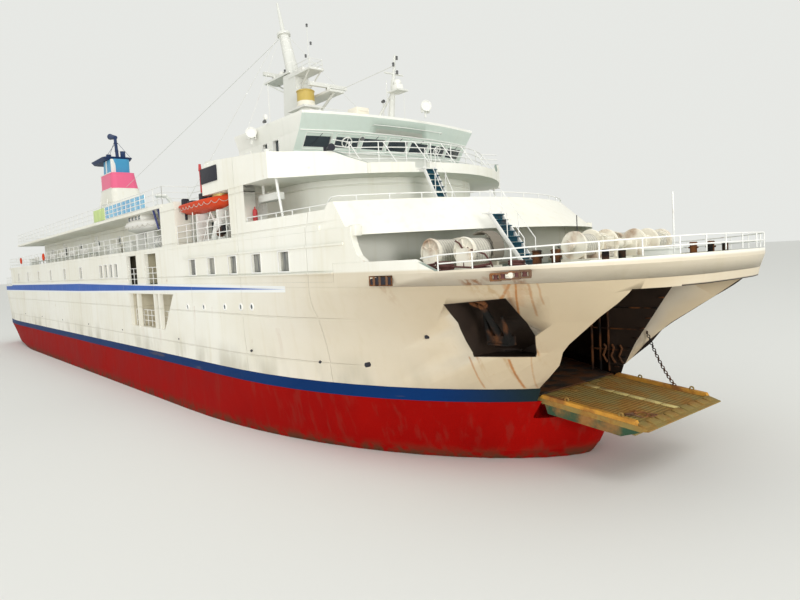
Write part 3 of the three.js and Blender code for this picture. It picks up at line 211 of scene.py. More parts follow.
# Rust that runs from the fairlead and the anchor pocket.
# Columns: X and Z of its top, X and Z of its foot, width, strength.
rustLines = [
    (39.52, 7.08, 38.47, 5.54, 0.035, 0.95), (38.47, 5.54, 38.0, 4.41, 0.03, 0.8),
    (36.17, 4.34, 36.13, 3.06, 0.035, 0.6),
    (37.41, 4.26, 37.26, 3.04, 0.045, 0.9), (38.68, 5.53, 38.34, 4.39, 0.03, 0.6),
    (39.35, 7.05, 38.56, 6.43, 0.04, 0.8),
    (38.35, 4.92, 37.57, 3.02, 0.025, 0.4), (39.2, 7.12, 38.75, 6.1, 0.07, 0.5),
    (39.9, 7.15, 39.25, 5.9, 0.035, 0.55),
    (40.15, 7.2, 39.75, 6.3, 0.03, 0.45), (39.6, 7.1, 39.0, 6.3, 0.2, 0.3),
]
hullPaint = {
    "white": (0.89, 0.875, 0.80), "shadeBeige": (0.55, 0.43, 0.265), "rust": (0.62, 0.27, 0.07),
    "shadeFrom": 20.0, "shadeTo": 34.0, "shadeShare": 0.62,  # painted shade: the white darkens to a shaded tan toward the bow
    "flareFrom": 31.0, "flareTo": 38.0, "flareShare": 0.9,  # and more painted shade where the bow leans outward and faces down
    "stripeWhite": (0.86, 0.87, 0.86), "stripeBlues": ((0.006, 0.07, 0.38), (0.014, 0.12, 0.50)),
    "deckGreens": ((0.24, 0.31, 0.26), (0.33, 0.39, 0.34)),
    "recessShadeBrowns": ((0.014, 0.010, 0.008), (0.050, 0.032, 0.022)),
    "lobbyCreams": ((0.60, 0.55, 0.42), (0.74, 0.69, 0.56)),
    "plateLength": 6.0, "strakeHeight": 1.9, "seamsEnd": (30.0, 33.0),
}
anchorPocket = [(36.32, 4.33), (38.25, 4.34), (38.74, 5.18), (38.82, 6.54), (36.54, 6.35)]
boardingOpening = [(7.18, 4.43), (13.52, 4.43), (15.24, 6.62), (7.18, 6.62)]


def insidePolygon(x, z, corners):  # 1 inside the outline, seen from the side
    mask = None
    for (x0, z0), (x1, z1) in zip(corners, corners[1:] + corners[:1]):
        length = math.hypot(x1 - x0, z1 - z0)
        across = ((z - z0) * ((x1 - x0) / length) - (x - x0) * ((z1 - z0) / length)).rise(-0.01, 0.01)
        mask = across if mask is None else mask.least(across)
    return mask


def shipSideFinish(name, colour, decked=True):
    finish = Finish(name)
    x, y, z = finish.axes(finish.place)
    _, _, upward = finish.axes(finish.normal)
    streak = finish.noise(0.35, 5, (1, 1, 14))
    cloud = finish.noise(5, 5)
    grime = finish.noise(1.2, 6, (1.5, 1.5, 4))
    dirty = [colour[0] * 0.84, colour[1] * 0.80, colour[2] * 0.68]
    tint = finish.blend((cloud.rise(0.35, 0.7) * 0.35 + streak.rise(0.5, 0.75) * 0.25), colour, dirty)
    # Painted shade: the white darkens to tan toward the bow, below the foredeck.
    forward = x.rise(hullPaint["shadeFrom"], hullPaint["shadeTo"]) * (1 - z.rise(7.5, 7.6))
    tint = finish.blend(forward * (0.8 + 0.2 * cloud) * hullPaint["shadeShare"], tint, hullPaint["shadeBeige"])
    lowDirt = (1 - z.rise(3.0, 4.6)) * grime.rise(0.42, 0.66) * 0.6
    tint = finish.blend(lowDirt, tint, [c * 0.6 for c in dirty])

    # The stripe narrows to a point, with a white line along both edges.
    taper = 1 - ((x - stripe["taperFrom"]) / (stripe["tip"] - stripe["taperFrom"])).most(0)
    top = stripe["tipHeight"] + taper * (stripe["high"] - stripe["tipHeight"])
    bottom = stripe["tipHeight"] + taper * (stripe["low"] - stripe["tipHeight"])
    onSide = abs(y).rise(5.2, 5.3) * (1 - x.rise(stripe["tip"] - 0.1, stripe["tip"]))
    border = stripe["border"]
    wide = (z - bottom + border).rise(-0.01, 0.01) * (top + border - z).rise(-0.01, 0.01)
    blue = (z - bottom).rise(-0.01, 0.01) * (top - z).rise(-0.01, 0.01)
    tint = finish.blend(wide * onSide, tint, hullPaint["stripeWhite"])
    tint = finish.blend(blue * onSide, tint, finish.blend(cloud, *hullPaint["stripeBlues"]))

    rust = None
    for runX, half, topZ, length, strength in rustRuns:
        below = z.rise(topZ - length, topZ) * (topZ + 0.02 - z).rise(0, 0.04)
        run = (1 - (abs(x - runX) / half).rise(0.2, 1.0)) * below * strength
        rust = run if rust is None else rust.most(run)
    rust = rust * finish.noise(0.16, 5, (1, 1, 16)).rise(0.36, 0.62) * abs(y).rise(1.5, 1.6)
    speckle = finish.noise(0.8, 8).rise(0.68, 0.75) * streak.rise(0.5, 0.62) * 0.35
    rust = rust.most(speckle)
    tint = finish.blend(rust, tint, finish.blend(finish.noise(0.3, 4), rustLight, rustBrown))

    # Plate seams: vertical butts and level strakes, thin and low, which fade toward the bow.
    plate, strake = hullPaint["plateLength"], hullPaint["strakeHeight"]
    butts = abs((x % plate) - plate / 2).rise(plate / 2 - 0.05, plate / 2 - 0.01)
    strakes = abs((z % strake) - strake / 2).rise(strake / 2 - 0.05, strake / 2 - 0.01)
    seams = butts.most(strakes) * (1 - x.rise(*hullPaint["seamsEnd"]))
    tint = finish.blend(seams * 0.18, tint, dirty)
    dents = finish.noise(0.9, 2) * 0.5 + finish.noise(2.2, 1)

    if decked:
        deck = upward.rise(0.93, 0.97)
        deckTint = finish.blend(grime, *hullPaint["deckGreens"])
        tint = finish.blend(deck, tint, finish.blend(speckle, deckTint, rustBrown))
    finish.wear(Base_Color=tint, Roughness=0.42 + 0.3 * rust + 0.15 * streak, Specular_IOR_Level=0.25,
                Normal=finish.bumps(dents - seams * 0.5 + finish.noise(0.05, 2) * 0.05, 0.05))
    return finish, (x, y, z, upward, tint)


def hullSidesFinish():
    finish, (x, y, z, upward, tint) = shipSideFinish("whiteHullPaintAndShade", hullPaint["white"], decked=False)
    ahead, flatSideways, _ = finish.axes(finish.flatNormal)
    # Painted shade, near black and brown: the bow mouth's inner walls and ceiling, and the anchor pocket.
    recessShade = finish.blend(finish.noise(0.7, 6), *hullPaint["recessShadeBrowns"])
    lobby = finish.blend(finish.noise(0.9, 5), *hullPaint["lobbyCreams"])
    outward = y / abs(y).most(0.001) * flatSideways
    bevel = outward.within(-0.9, -0.3, 0.05) * ahead.rise(0.2, 0.4) * x.rise(37.5, 37.6)
    facingIn = (outward * -1).rise(0.2, 0.5) * (1 - bevel)
    # Painted shade: tan where the bow flare faces down.
    leaning = x.rise(hullPaint["flareFrom"], hullPaint["flareTo"]) * (1 - upward.rise(-0.5, -0.08))
    patchy = 0.6 + 0.4 * finish.noise(3.0, 4, (1, 1, 2))
    tint = finish.blend(leaning * patchy * hullPaint["flareShare"], tint, hullPaint["shadeBeige"])
    runs = None
    for topX, topZ, footX, footZ, width, strength in rustLines:
        spanX, spanZ = footX - topX, footZ - topZ
        length = math.hypot(spanX, spanZ)
        across = abs((x - topX) * (spanZ / length) - (z - topZ) * (spanX / length))
        along = ((x - topX) * (spanX / length) + (z - topZ) * (spanZ / length)).within(0, length, 0.05)
        ragged = across + (finish.noise(0.12, 4) - 0.5) * width
        line = (1 - (ragged / width).rise(0.2, 1.5)) * along * strength
        runs = line if runs is None else runs.most(line)
    rust = finish.blend(finish.noise(0.2, 4), hullPaint["rust"], rustBrown)
    tint = finish.blend(runs * finish.noise(0.3, 4).rise(0.2, 0.4), tint, rust)
    # Painted shade in the bow mouth, on faces that look inward and under its ceiling.
    mouth = abs(y).within(-1, 2.79, 0.01) * x.rise(36, 36.2) * (1 - z.rise(6.72, 6.76))
    inner = facingIn.most(mouth)
    tint = finish.blend(inner, tint, recessShade)
    opening = insidePolygon(x, z, boardingOpening) * (1 - abs(y).rise(7.30, 7.34))
    tint = finish.blend(opening, tint, lobby)
    # Painted shade in the anchor pocket.
    tint = finish.blend(insidePolygon(x, z, anchorPocket) * abs(y).rise(2.9, 3.0), tint, recessShade)
    return finish.wear(Base_Color=tint)


def redBottomFinish():
    finish = Finish("redBottomPaint")
    _, _, z = finish.axes(finish.place)
    cloud = finish.noise(2.2, 5)
    run = finish.noise(0.4, 5, (1, 1, 8))
    tint = finish.blend(cloud, (0.23, 0.0015, 0.001), (0.37, 0.004, 0.002))
    tint = finish.blend(run.rise(0.52, 0.7) * 0.35, tint, (0.22, 0.03, 0.02))
    thinner = 0.35 + 0.65 * z.rise(-0.8, 0.0)  # the growth gets less with depth
    slime = (1 - z.rise(0.0, 0.7)) * thinner * finish.noise(0.5, 6).rise(0.35, 0.6)
    tint = finish.blend(slime * 0.8, tint, (0.045, 0.05, 0.025))
    finish.wear(Base_Color=tint, Roughness=0.5 + 0.25 * cloud, Specular_IOR_Level=0.04,
                Normal=finish.bumps(finish.noise(1.4, 4) + finish.noise(0.1, 2) * 0.1, 0.04))
    return finish


def bootBandFinish():
    finish = Finish("blueBandPaintAndShade")
    cloud = finish.noise(1.8, 5, (3, 3, 1))
    scrape = finish.noise(0.5, 6, (6, 6, 1)).rise(0.6, 0.72) * 0.5
    x, y, _ = finish.axes(finish.place)
    _, flatSideways, _ = finish.axes(finish.flatNormal)
    tint = finish.blend(cloud, (0.002, 0.021, 0.095), (0.004, 0.038, 0.155))
    tint = finish.blend(scrape, tint, (0.12, 0.10, 0.10))
    # Painted shade: the band turns near black toward the bow and in the mouth, and dark brown on faces that
    # look inward.
    ahead = (x + cloud * 2).rise(35.0, 38.6)
    mouth = (1 - abs(y).rise(2.8, 2.86)) * x.rise(35, 35.5)
    tint = finish.blend(ahead.most(mouth), tint, (0.012, 0.022, 0.022))
    inside = (y / abs(y).most(0.001) * flatSideways * -1).rise(0.2, 0.5)
    tint = finish.blend(inside, tint, (0.022, 0.015, 0.011))
    return finish.wear(Base_Color=tint, Roughness=0.5 + 0.3 * scrape, Specular_IOR_Level=0.05,
                       Normal=finish.bumps(finish.noise(1.4, 3), 0.03))


def rustySteelFinish(name, base, rusted, share=0.5, roughness=0.7, shine=0.25):
    finish = Finish(name)
    patch = finish.noise(0.9, 8).rise(share - 0.12, share + 0.12)
    fine = finish.noise(0.12, 5)
    tint = finish.blend(patch, base, finish.blend(fine, rusted, rustBrown))
    return finish.wear(Base_Color=tint, Roughness=roughness + 0.2 * patch, Specular_IOR_Level=shine,
                       Normal=finish.bumps(fine + 2 * patch, 0.015))


def glassFinish(name, colour, roughness=0.06):
    finish = Finish(name)
    cloud = finish.noise(1.5, 2)
    tint = finish.blend(cloud, [c * 0.7 for c in colour], colour)
    return finish.wear(Base_Color=tint, Roughness=roughness + 0.04 * cloud, Specular_IOR_Level=0.8)


def paneFinish(name, dark, curtain):  # glass with pale curtains behind it
    finish = Finish(name)
    fold = finish.noise(0.16, 3, (1, 1, 12)).rise(0.35, 0.65)
    drawn = finish.noise(0.9, 1, (1, 1, 20)).rise(0.45, 0.55)
    return finish.wear(Base_Color=finish.blend(fold * drawn, dark, curtain), Roughness=0.08 + 0.1 * fold,
                       Specular_IOR_Level=0.7)


def ropeFinish(name, colour):
    finish = Finish(name)
    x, y, z = finish.axes(finish.place)
    twist = abs(((x + y * 2.3 + z * 0.7) * 7.0) % 2.0 - 1.0)
    fuzz = finish.noise(0.05, 5)
    tint = finish.blend(twist.rise(0.1, 0.7) * 0.5 + fuzz * 0.4, [c * 0.55 for c in colour], colour)
    return finish.wear(Base_Color=tint, Roughness=0.85, Normal=finish.bumps(twist + fuzz, 0.02))


def browFinish():  # white, with pale grey-green painted shade on the sloped front, which faces down; white on the sides and the top
    finish = Finish("browPaintAndShade")
    ahead, _, upward = finish.axes(finish.normal)
    x, _, z = finish.axes(finish.place)
    cloud = finish.noise(3.0, 4)
    streak = finish.noise(0.4, 5, (1, 1, 10)).rise(0.5, 0.8)
    # Painted shade: the sloped front, which faces down, is pale grey-green.
    front = ahead.rise(0.25, 0.35) * (1 - upward.rise(-0.1, 0.0)) * x.rise(25.5, 25.6) * z.rise(13.17, 13.2)
    green = finish.blend(cloud, (0.66, 0.75, 0.68), (0.74, 0.81, 0.74))
    tint = finish.blend(front, finish.blend(cloud, (0.85, 0.84, 0.77), (0.89, 0.88, 0.82)), green)
    tint = finish.blend(streak * 0.15, tint, (0.55, 0.56, 0.47))
    return finish.wear(Base_Color=tint, Roughness=0.42 + 0.1 * cloud,
                       Normal=finish.bumps(cloud + finish.noise(0.8, 2), 0.02))


def domeFinish():  # golden yellow above, cream below
    finish = Finish("domePaint")
    _, _, z = finish.axes(finish.place)
    cloud = finish.noise(0.6, 5)
    golden = finish.blend(cloud, (0.48, 0.34, 0.07), (0.58, 0.43, 0.11))
    cream = finish.blend(cloud, (0.76, 0.72, 0.60), (0.84, 0.81, 0.70))
    tint = finish.blend((z + cloud * 0.1).rise(17.35, 17.4), cream, golden)
    return finish.wear(Base_Color=tint, Roughness=0.4 + 0.1 * cloud, Normal=finish.bumps(cloud, 0.01))


def bronzeFinish():
    finish = Finish("propellerBronze")
    tint = finish.blend(finish.noise(0.4, 5), (0.42, 0.27, 0.10), (0.62, 0.44, 0.20))
    return finish.wear(Base_Color=tint, Metallic=1.0, Roughness=0.32 + 0.2 * finish.noise(0.2, 4))


finishes = {
    "hullSides": hullSidesFinish(),
    "shipWhite": shipSideFinish("whiteHousePaintAndShade", hullPaint["white"])[0],
    "redBottom": redBottomFinish(),
    "bootBlue": bootBandFinish(),
    "fittingWhite": plainPaint("whiteFittingPaint", (0.88, 0.87, 0.82), variation=0.08, rust=0.3),
    "carDeck": rustySteelFinish("carDeckPaint", (0.07, 0.055, 0.045), (0.16, 0.08, 0.04)),
    "rampSteel": rustySteelFinish("rampSteel", (0.27, 0.20, 0.065), (0.40, 0.25, 0.06), 0.5, shine=0.15),
    "kerbYellow": rustySteelFinish("kerbYellowPaint", (0.60, 0.29, 0.04), (0.30, 0.13, 0.035), 0.53),
    "drumCream": domeFinish(),
    "rampGreen": rustySteelFinish("rampGreenPaint", (0.03, 0.075, 0.04), (0.34, 0.19, 0.06), 0.52),
    "browGrey": browFinish(),
    "glass": glassFinish("darkWindowGlass", (0.045, 0.06, 0.075)),
    "funnelRed": plainPaint("funnelPinkPaint", (0.90, 0.15, 0.29), 0.35, rust=0.1),
    "funnelBlue": plainPaint("funnelBluePaint", (0.07, 0.36, 0.62), 0.35, rust=0.1),
    "funnelDark": plainPaint("funnelCapPaint", (0.02, 0.045, 0.13), 0.5, rust=0.2),
    "bronze": bronzeFinish(),
    "rescueOrange": plainPaint("rescueBoatOrange", (0.74, 0.065, 0.012), 0.4, rust=0.0, shine=0.2),
    "boatWhite": plainPaint("boatWhiteResin", (0.84, 0.82, 0.77), 0.3, variation=0.08, rust=0.1),
    "reelCream": rustySteelFinish("reelCreamPaint", (0.84, 0.79, 0.67), (0.62, 0.47, 0.32), 0.63, 0.5),
    "railWhite": plainPaint("railPaint", (0.88, 0.87, 0.83), 0.4, variation=0.06, rust=0.25, rustSize=0.5),
    "saloonPane": paneFinish("saloonWindowGlass", (0.075, 0.08, 0.085), (0.36, 0.35, 0.30)),
    "cabinPane": paneFinish("cabinWindowGlass", (0.05, 0.07, 0.08), (0.30, 0.33, 0.32)),
    "screenPane": paneFinish("windScreenGlass", (0.09, 0.37, 0.62), (0.22, 0.55, 0.74)),
    "rubber": rustySteelFinish("blackRubber", (0.02, 0.02, 0.022), (0.06, 0.055, 0.05), 0.55, 0.8),
    "whiteRope": ropeFinish("paleMooringRope", (0.74, 0.70, 0.60)),
    "yellowRope": ropeFinish("yellowMooringRope", (0.74, 0.52, 0.16)),
    "fairleadRust": rustySteelFinish("fairleadSteel", (0.15, 0.085, 0.05), (0.30, 0.12, 0.04), 0.5, 0.75),
    "boardBlack": plainPaint("blackBoardPaint", (0.02, 0.02, 0.03), 0.5, rust=0.0),
    "signalRed": plainPaint("signalRedPaint", (0.52, 0.05, 0.05), 0.4, rust=0.2),
    "panelGreen": plainPaint("yellowGreenPanelPaint", (0.60, 0.74, 0.30), 0.5, rust=0.0),
    "lobbyCream": plainPaint("lobbyCreamPaint", (0.62, 0.57, 0.42), 0.5, rust=0.3),
    "wheelhousePane": glassFinish("wheelhouseWindowGlass", (0.045, 0.055, 0.07), 0.05),
    "mastNavy": plainPaint("navyBluePaint", (0.05, 0.06, 0.20), 0.4, rust=0.1),
    "darkLamp": glassFinish("lampGlass", (0.10, 0.10, 0.10), 0.15),
    "stripeYellow": rustySteelFinish("yellowLinePaint", (0.80, 0.66, 0.26), (0.42, 0.28, 0.14), 0.58, 0.6),
    "treadTeal": rustySteelFinish("stairTreadPaint", (0.006, 0.065, 0.10), (0.05, 0.12, 0.15), 0.66, 0.45),
    "mastWhite": plainPaint("mastPaint", (0.74, 0.74, 0.69), 0.5, variation=0.06, rust=0.2),
    "dullRust": rustySteelFinish("dullRustySteel", (0.05, 0.03, 0.02), (0.11, 0.05, 0.025), 0.5, 0.8, 0.1),
    "hoseRed": plainPaint("deckHoseRubber", (0.11, 0.035, 0.03), 0.6, rust=0.3),
    "guardGrey": plainPaint("guardPaint", (0.22, 0.19, 0.15), 0.6, rust=0.4),
    "zinc": plainPaint("zincAnode", (0.45, 0.46, 0.46), 0.6, rust=0.1),
    "anchorBlack": rustySteelFinish("anchorIron", (0.012, 0.011, 0.010), (0.045, 0.026, 0.018), 0.55,
                                    shine=0.1),
}
print("finishes made")

# Which finish each CAD node has, and at what angle its copy is shaded smooth; 0 keeps the node itself.
nodeFinishes = [
    ("hull_bottom", "redBottom", 28), ("hull_band_starboard", "bootBlue", 28),
    ("hull_band_port", "bootBlue", 28),
    ("hull_band_bow_starboard", "bootBlue", 28), ("hull_band_bow_port", "bootBlue", 28),
    ("hull_sides", "hullSides", 28), ("car_deck", "carDeck", 0), ("main_deck", "shipWhite", 28),
    ("foredeck", "shipWhite", 28), ("saloon_walls", "shipWhite", 0), ("boat_deck", "shipWhite", 28),
    ("cabin_walls", "shipWhite", 28), ("bridge_deck", "shipWhite", 28), ("wheelhouse_walls", "browGrey", 28),
    ("wheelhouse_glass", "glass", 28), ("wheelhouse_roof", "browGrey", 28), ("main_mast", "mastWhite", 35),
    ("roof_mast", "mastWhite", 35), ("satellite_drum", "drumCream", 40), ("radar_fore", "mastWhite", 35),
    ("radar_aft", "mastWhite", 35), ("funnel_base", "shipWhite", 40), ("funnel_red_band", "funnelRed", 40),
    ("funnel_blue_band", "funnelBlue", 40), ("funnel_cap", "funnelDark", 40),
    ("rescue_boat", "rescueOrange", 60),
    ("rescue_boat_chocks", "fittingWhite", 0), ("lifeboat_starboard", "boatWhite", 60),
    ("lifeboat_port", "boatWhite", 60), ("lifeboat_chocks_starboard", "fittingWhite", 0),
    ("lifeboat_chocks_port", "fittingWhite", 0), ("raft_rack_starboard", "boatWhite", 40),
    ("raft_rack_port", "boatWhite", 40), ("rescue_davit", "fittingWhite", 40),
    ("davit_seat", "fittingWhite", 40),
    ("mooring_winch_starboard", "reelCream", 40), ("mooring_winch_port", "reelCream", 40),
    ("rope_reel_1", "reelCream", 40), ("rope_reel_2", "reelCream", 40), ("rope_reel_3", "reelCream", 40),
    ("rope_reel_4", "reelCream", 40), ("rope_reel_5", "reelCream", 40),
    ("bollards_starboard", "anchorBlack", 40),
    ("bollards_port", "anchorBlack", 40), ("ladder_upper", "railWhite", 0), ("ladder_lower", "railWhite", 0),
    ("anchor_starboard", "anchorBlack", 40), ("anchor_port", "anchorBlack", 40),
    ("bow_ramp_plate", "rampSteel", 0),
    ("bow_ramp_side_starboard", "rampGreen", 0), ("bow_ramp_side_port", "rampGreen", 0),
    ("bow_ramp_kerb_starboard", "kerbYellow", 0), ("bow_ramp_kerb_port", "kerbYellow", 0),
    ("stern_ramp", "rampSteel", 0), ("propeller_starboard", "bronze", 50), ("propeller_port", "bronze", 50),
    ("rudder_starboard", "redBottom", 40), ("rudder_port", "redBottom", 40),
]


def onlySelect(thing):
    bpy.ops.object.select_all(action="DESELECT")
    thing.select_set(True)
    bpy.context.view_layer.objects.active = thing


def applied(thing, kind, **settings):
    onlySelect(thing)
    bpy.ops.object.modifier_add(type=kind)
    modifier = thing.modifiers[-1]
    for name, value in settings.items():
        setattr(modifier, name, value)
    bpy.ops.object.modifier_apply(modifier=modifier.name)


def smoothCopy(name, angle):  # a merged copy of a node, shaded smooth where it curves
    original = nodes[name]
    onlySelect(original)
    bpy.ops.object.duplicate()
    copy = bpy.context.object
    bpy.ops.object.mode_set(mode="EDIT")
    bpy.ops.mesh.select_all(action="SELECT")
    bpy.ops.mesh.remove_doubles(threshold=0.00002)
    bpy.ops.mesh.dissolve_limited(angle_limit=math.radians(0.3))
    bpy.ops.object.mode_set(mode="OBJECT")
    copy.name = name + "_smooth"
    bpy.ops.object.shade_smooth_by_angle(angle=math.radians(angle))
    applied(copy, "WEIGHTED_NORMAL", keep_sharp=True, weight=80)
    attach(copy, original["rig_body"])
    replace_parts(copy, name)
    return copy


for nodeName, finishName, angle in nodeFinishes:
    thing = smoothCopy(nodeName, angle) if angle else nodes[nodeName]
    thing.data.materials.clear()
    thing.data.materials.append(finishes[finishName].material)
print("nodes dressed")

# Modelling helpers

# Columns: half-breadth, where the bow begins, stem, power, fullness,
# where the stern begins and ends, half-breadth there.
waterlines = {"deckEdge": (7.55, 34, 43.4, 2.4, 0.37, -38, -43.4, 7.4),
              "hullTop": (7.55, 31, 43.3, 2.2, 0.34, -38, -43.4, 7.4)}
# Heights of the decks and of the wheelhouse's roof.
lobbyTop, mainDeckTop, foredeckTop, boatDeckTop, bridgeDeckTop, roofTop = 4.47, 7.2, 7.45, 9.4, 11.9, 14.84


def halfBreadth(name, x):  # half the hull's breadth at that X
    half, bowStart, stem, power, fullness, sternStart, sternEnd, sternHalf = waterlines[name]
    if x > bowStart:
        return half * max(0, 1 - ((x - bowStart) / (stem - bowStart)) ** power) ** fullness
    if x < sternStart:
        return half - (half - sternHalf) * ((x - sternStart) / (sternEnd - sternStart)) ** 2
    return half


def bowedX(corner, depth, half, y):  # X of a front that is bowed forward
    return corner + depth * (1 - (y / half) ** 2)


def startShape(name):  # an empty mesh in edit mode, to which primitives are added and shaped
    bpy.ops.object.select_all(action="DESELECT")
    bpy.ops.mesh.primitive_plane_add(size=shipMetre)
    bpy.context.object.name = name
    bpy.ops.object.mode_set(mode="EDIT")
    bpy.ops.mesh.delete(type="VERT")


def addBlock(low, high, bevel=0.0, turn=(0, 0, 0)):
    low, high = Vector(low), Vector(high)
    bpy.ops.mesh.primitive_cube_add(size=shipMetre, location=(low + high) / 2 * shipMetre, scale=high - low,
                                    rotation=turn)
    if bevel:
        bpy.ops.mesh.bevel(offset=bevel * shipMetre, segments=2, affect="EDGES")


def addBar(start, end, radius, endRadius=None, sides=12):
    start, end = Vector(start), Vector(end)
    along = end - start
    endRadius = radius if endRadius is None else endRadius
    bpy.ops.mesh.primitive_cone_add(vertices=sides, radius1=radius * shipMetre, radius2=endRadius * shipMetre,
                                    depth=along.length * shipMetre, location=(start + end) / 2 * shipMetre,
                                    rotation=along.to_track_quat("Z", "Y").to_euler())


def addRing(middle, axis, radius, thickness, sides=20, around=6):
    bpy.ops.mesh.primitive_torus_add(location=modelPlace(middle),
                                     rotation=Vector(axis).to_track_quat("Z", "Y").to_euler(),
                                     major_radius=radius * shipMetre, minor_radius=thickness * shipMetre,
                                     major_segments=sides, minor_segments=around)


def addBall(middle, radius, squash=(1, 1, 1), segments=16):
    bpy.ops.mesh.primitive_uv_sphere_add(segments=segments, ring_count=segments // 2,
                                         radius=radius * shipMetre,
                                         location=modelPlace(middle), scale=squash)


def addFrame(middle, width, height, border):  # a flat frame in the ship's side, given its depth later
    bpy.ops.mesh.primitive_plane_add(size=shipMetre, location=modelPlace(middle),
                                     rotation=(math.pi / 2, 0, 0))
    bpy.ops.transform.resize(value=(width, 1, height), center_override=modelPlace(middle))
    bpy.ops.mesh.inset(thickness=border * shipMetre)
    bpy.ops.mesh.delete(type="FACE")


def repeatShape(step, count):  # more copies of what is selected, each a step on
    for _ in range(count):
        bpy.ops.mesh.duplicate()
        bpy.ops.transform.translate(value=modelPlace(step))


def mirrorShape():  # the same on the other side of the ship
    bpy.ops.mesh.select_all(action="SELECT")
    bpy.ops.mesh.duplicate()
    bpy.ops.transform.resize(value=(1, -1, 1), center_override=(0, 0, 0))
    bpy.ops.mesh.flip_normals()


def ridden(piece, finishName, body="ship"):
    piece.data.materials.clear()
    piece.data.materials.append(finishes[finishName].material)
    if body:  # what bends across a joint rides on no single body
        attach(piece, body)
    return piece


def keepShape(finishName, body="ship", smooth=35, thickness=0.0, bevel=0.0):
    bpy.ops.object.mode_set(mode="OBJECT")
    piece = bpy.context.object
    if thickness:
        applied(piece, "SOLIDIFY", thickness=thickness * shipMetre, offset=1)
    if bevel:
        applied(piece, "BEVEL", width=bevel * shipMetre, segments=2, limit_method="ANGLE")
    bpy.ops.object.mode_set(mode="EDIT")
    bpy.ops.mesh.select_all(action="SELECT")
    bpy.ops.mesh.normals_make_consistent(inside=False)
    bpy.ops.object.mode_set(mode="OBJECT")
    bpy.ops.object.shade_smooth_by_angle(angle=math.radians(smooth))
    return ridden(piece, finishName, body)


def makePipes(name, paths, radius, finishName="railWhite", body="ship", roundness=2):
    bpy.ops.object.select_all(action="DESELECT")
    bpy.ops.curve.primitive_nurbs_path_add()
    pipe = bpy.context.object
    pipe.name = name
    pipe.data.splines.clear()
    for path in paths:
        spline = pipe.data.splines.new("POLY")
        spline.points.add(len(path) - 1)
        for point, place in zip(spline.points, path):
            point.co = (*modelPlace(place), 1)
    pipe.data.bevel_depth = radius * shipMetre
    pipe.data.bevel_resolution = roundness
    pipe.data.use_fill_caps = True
    bpy.ops.object.convert(target="MESH")
    bpy.ops.object.shade_smooth_by_angle(angle=math.radians(50))
    return ridden(bpy.context.object, finishName, body)


def placesAlong(path, spacing):  # evenly spaced places along a path, with its ends
    path = [Vector(place) for place in path]
    lengths = [(b - a).length for a, b in zip(path, path[1:])]
    count = max(1, round(sum(lengths) / spacing))
    places = []
    for i in range(count + 1):
        left = sum(lengths) * i / count
        for a, b, length in zip(path, path[1:], lengths):
            if left <= length + 1e-6:
                places.append(a.lerp(b, left / length if length else 0))
                break
            left -= length
    return places


def railPaths(path, heights, spacing):  # a bar at each height above the path, and stanchions
    bars = [[(x, y, z + height) for x, y, z in path] for height in heights]
    return bars + [[place, place + Vector((0, 0, heights[-1]))] for place in placesAlong(path, spacing)]


def bothSides(paths):  # the paths and their mirror images
    return paths + [[(x, -y, z) for x, y, z in path] for path in paths]


# Rails

rails = {
    "radius": 0.024, "high": (0.35, 0.7, 1.05), "spacing": 1.5, "outY": -7.45,
    "foredeckHeights": (0.23, 0.5), "foredeckSpacing": 1.25,
    "foredeckX": (37.25, 38, 39, 40, 41, 41.8, 42.5, 43.0, 43.2),
    "pipeHeights": (0.22,), "pipeSpacing": 1.3, "frontHeights": (0.55, 0.8, 1.05, 1.3), "frontSpacing": 1.4,
    "sternX": (-38.1, -39.5, -41, -42.3, -43.3), "openings": ((7.12, 9.08), (10.72, 12.78)),
}


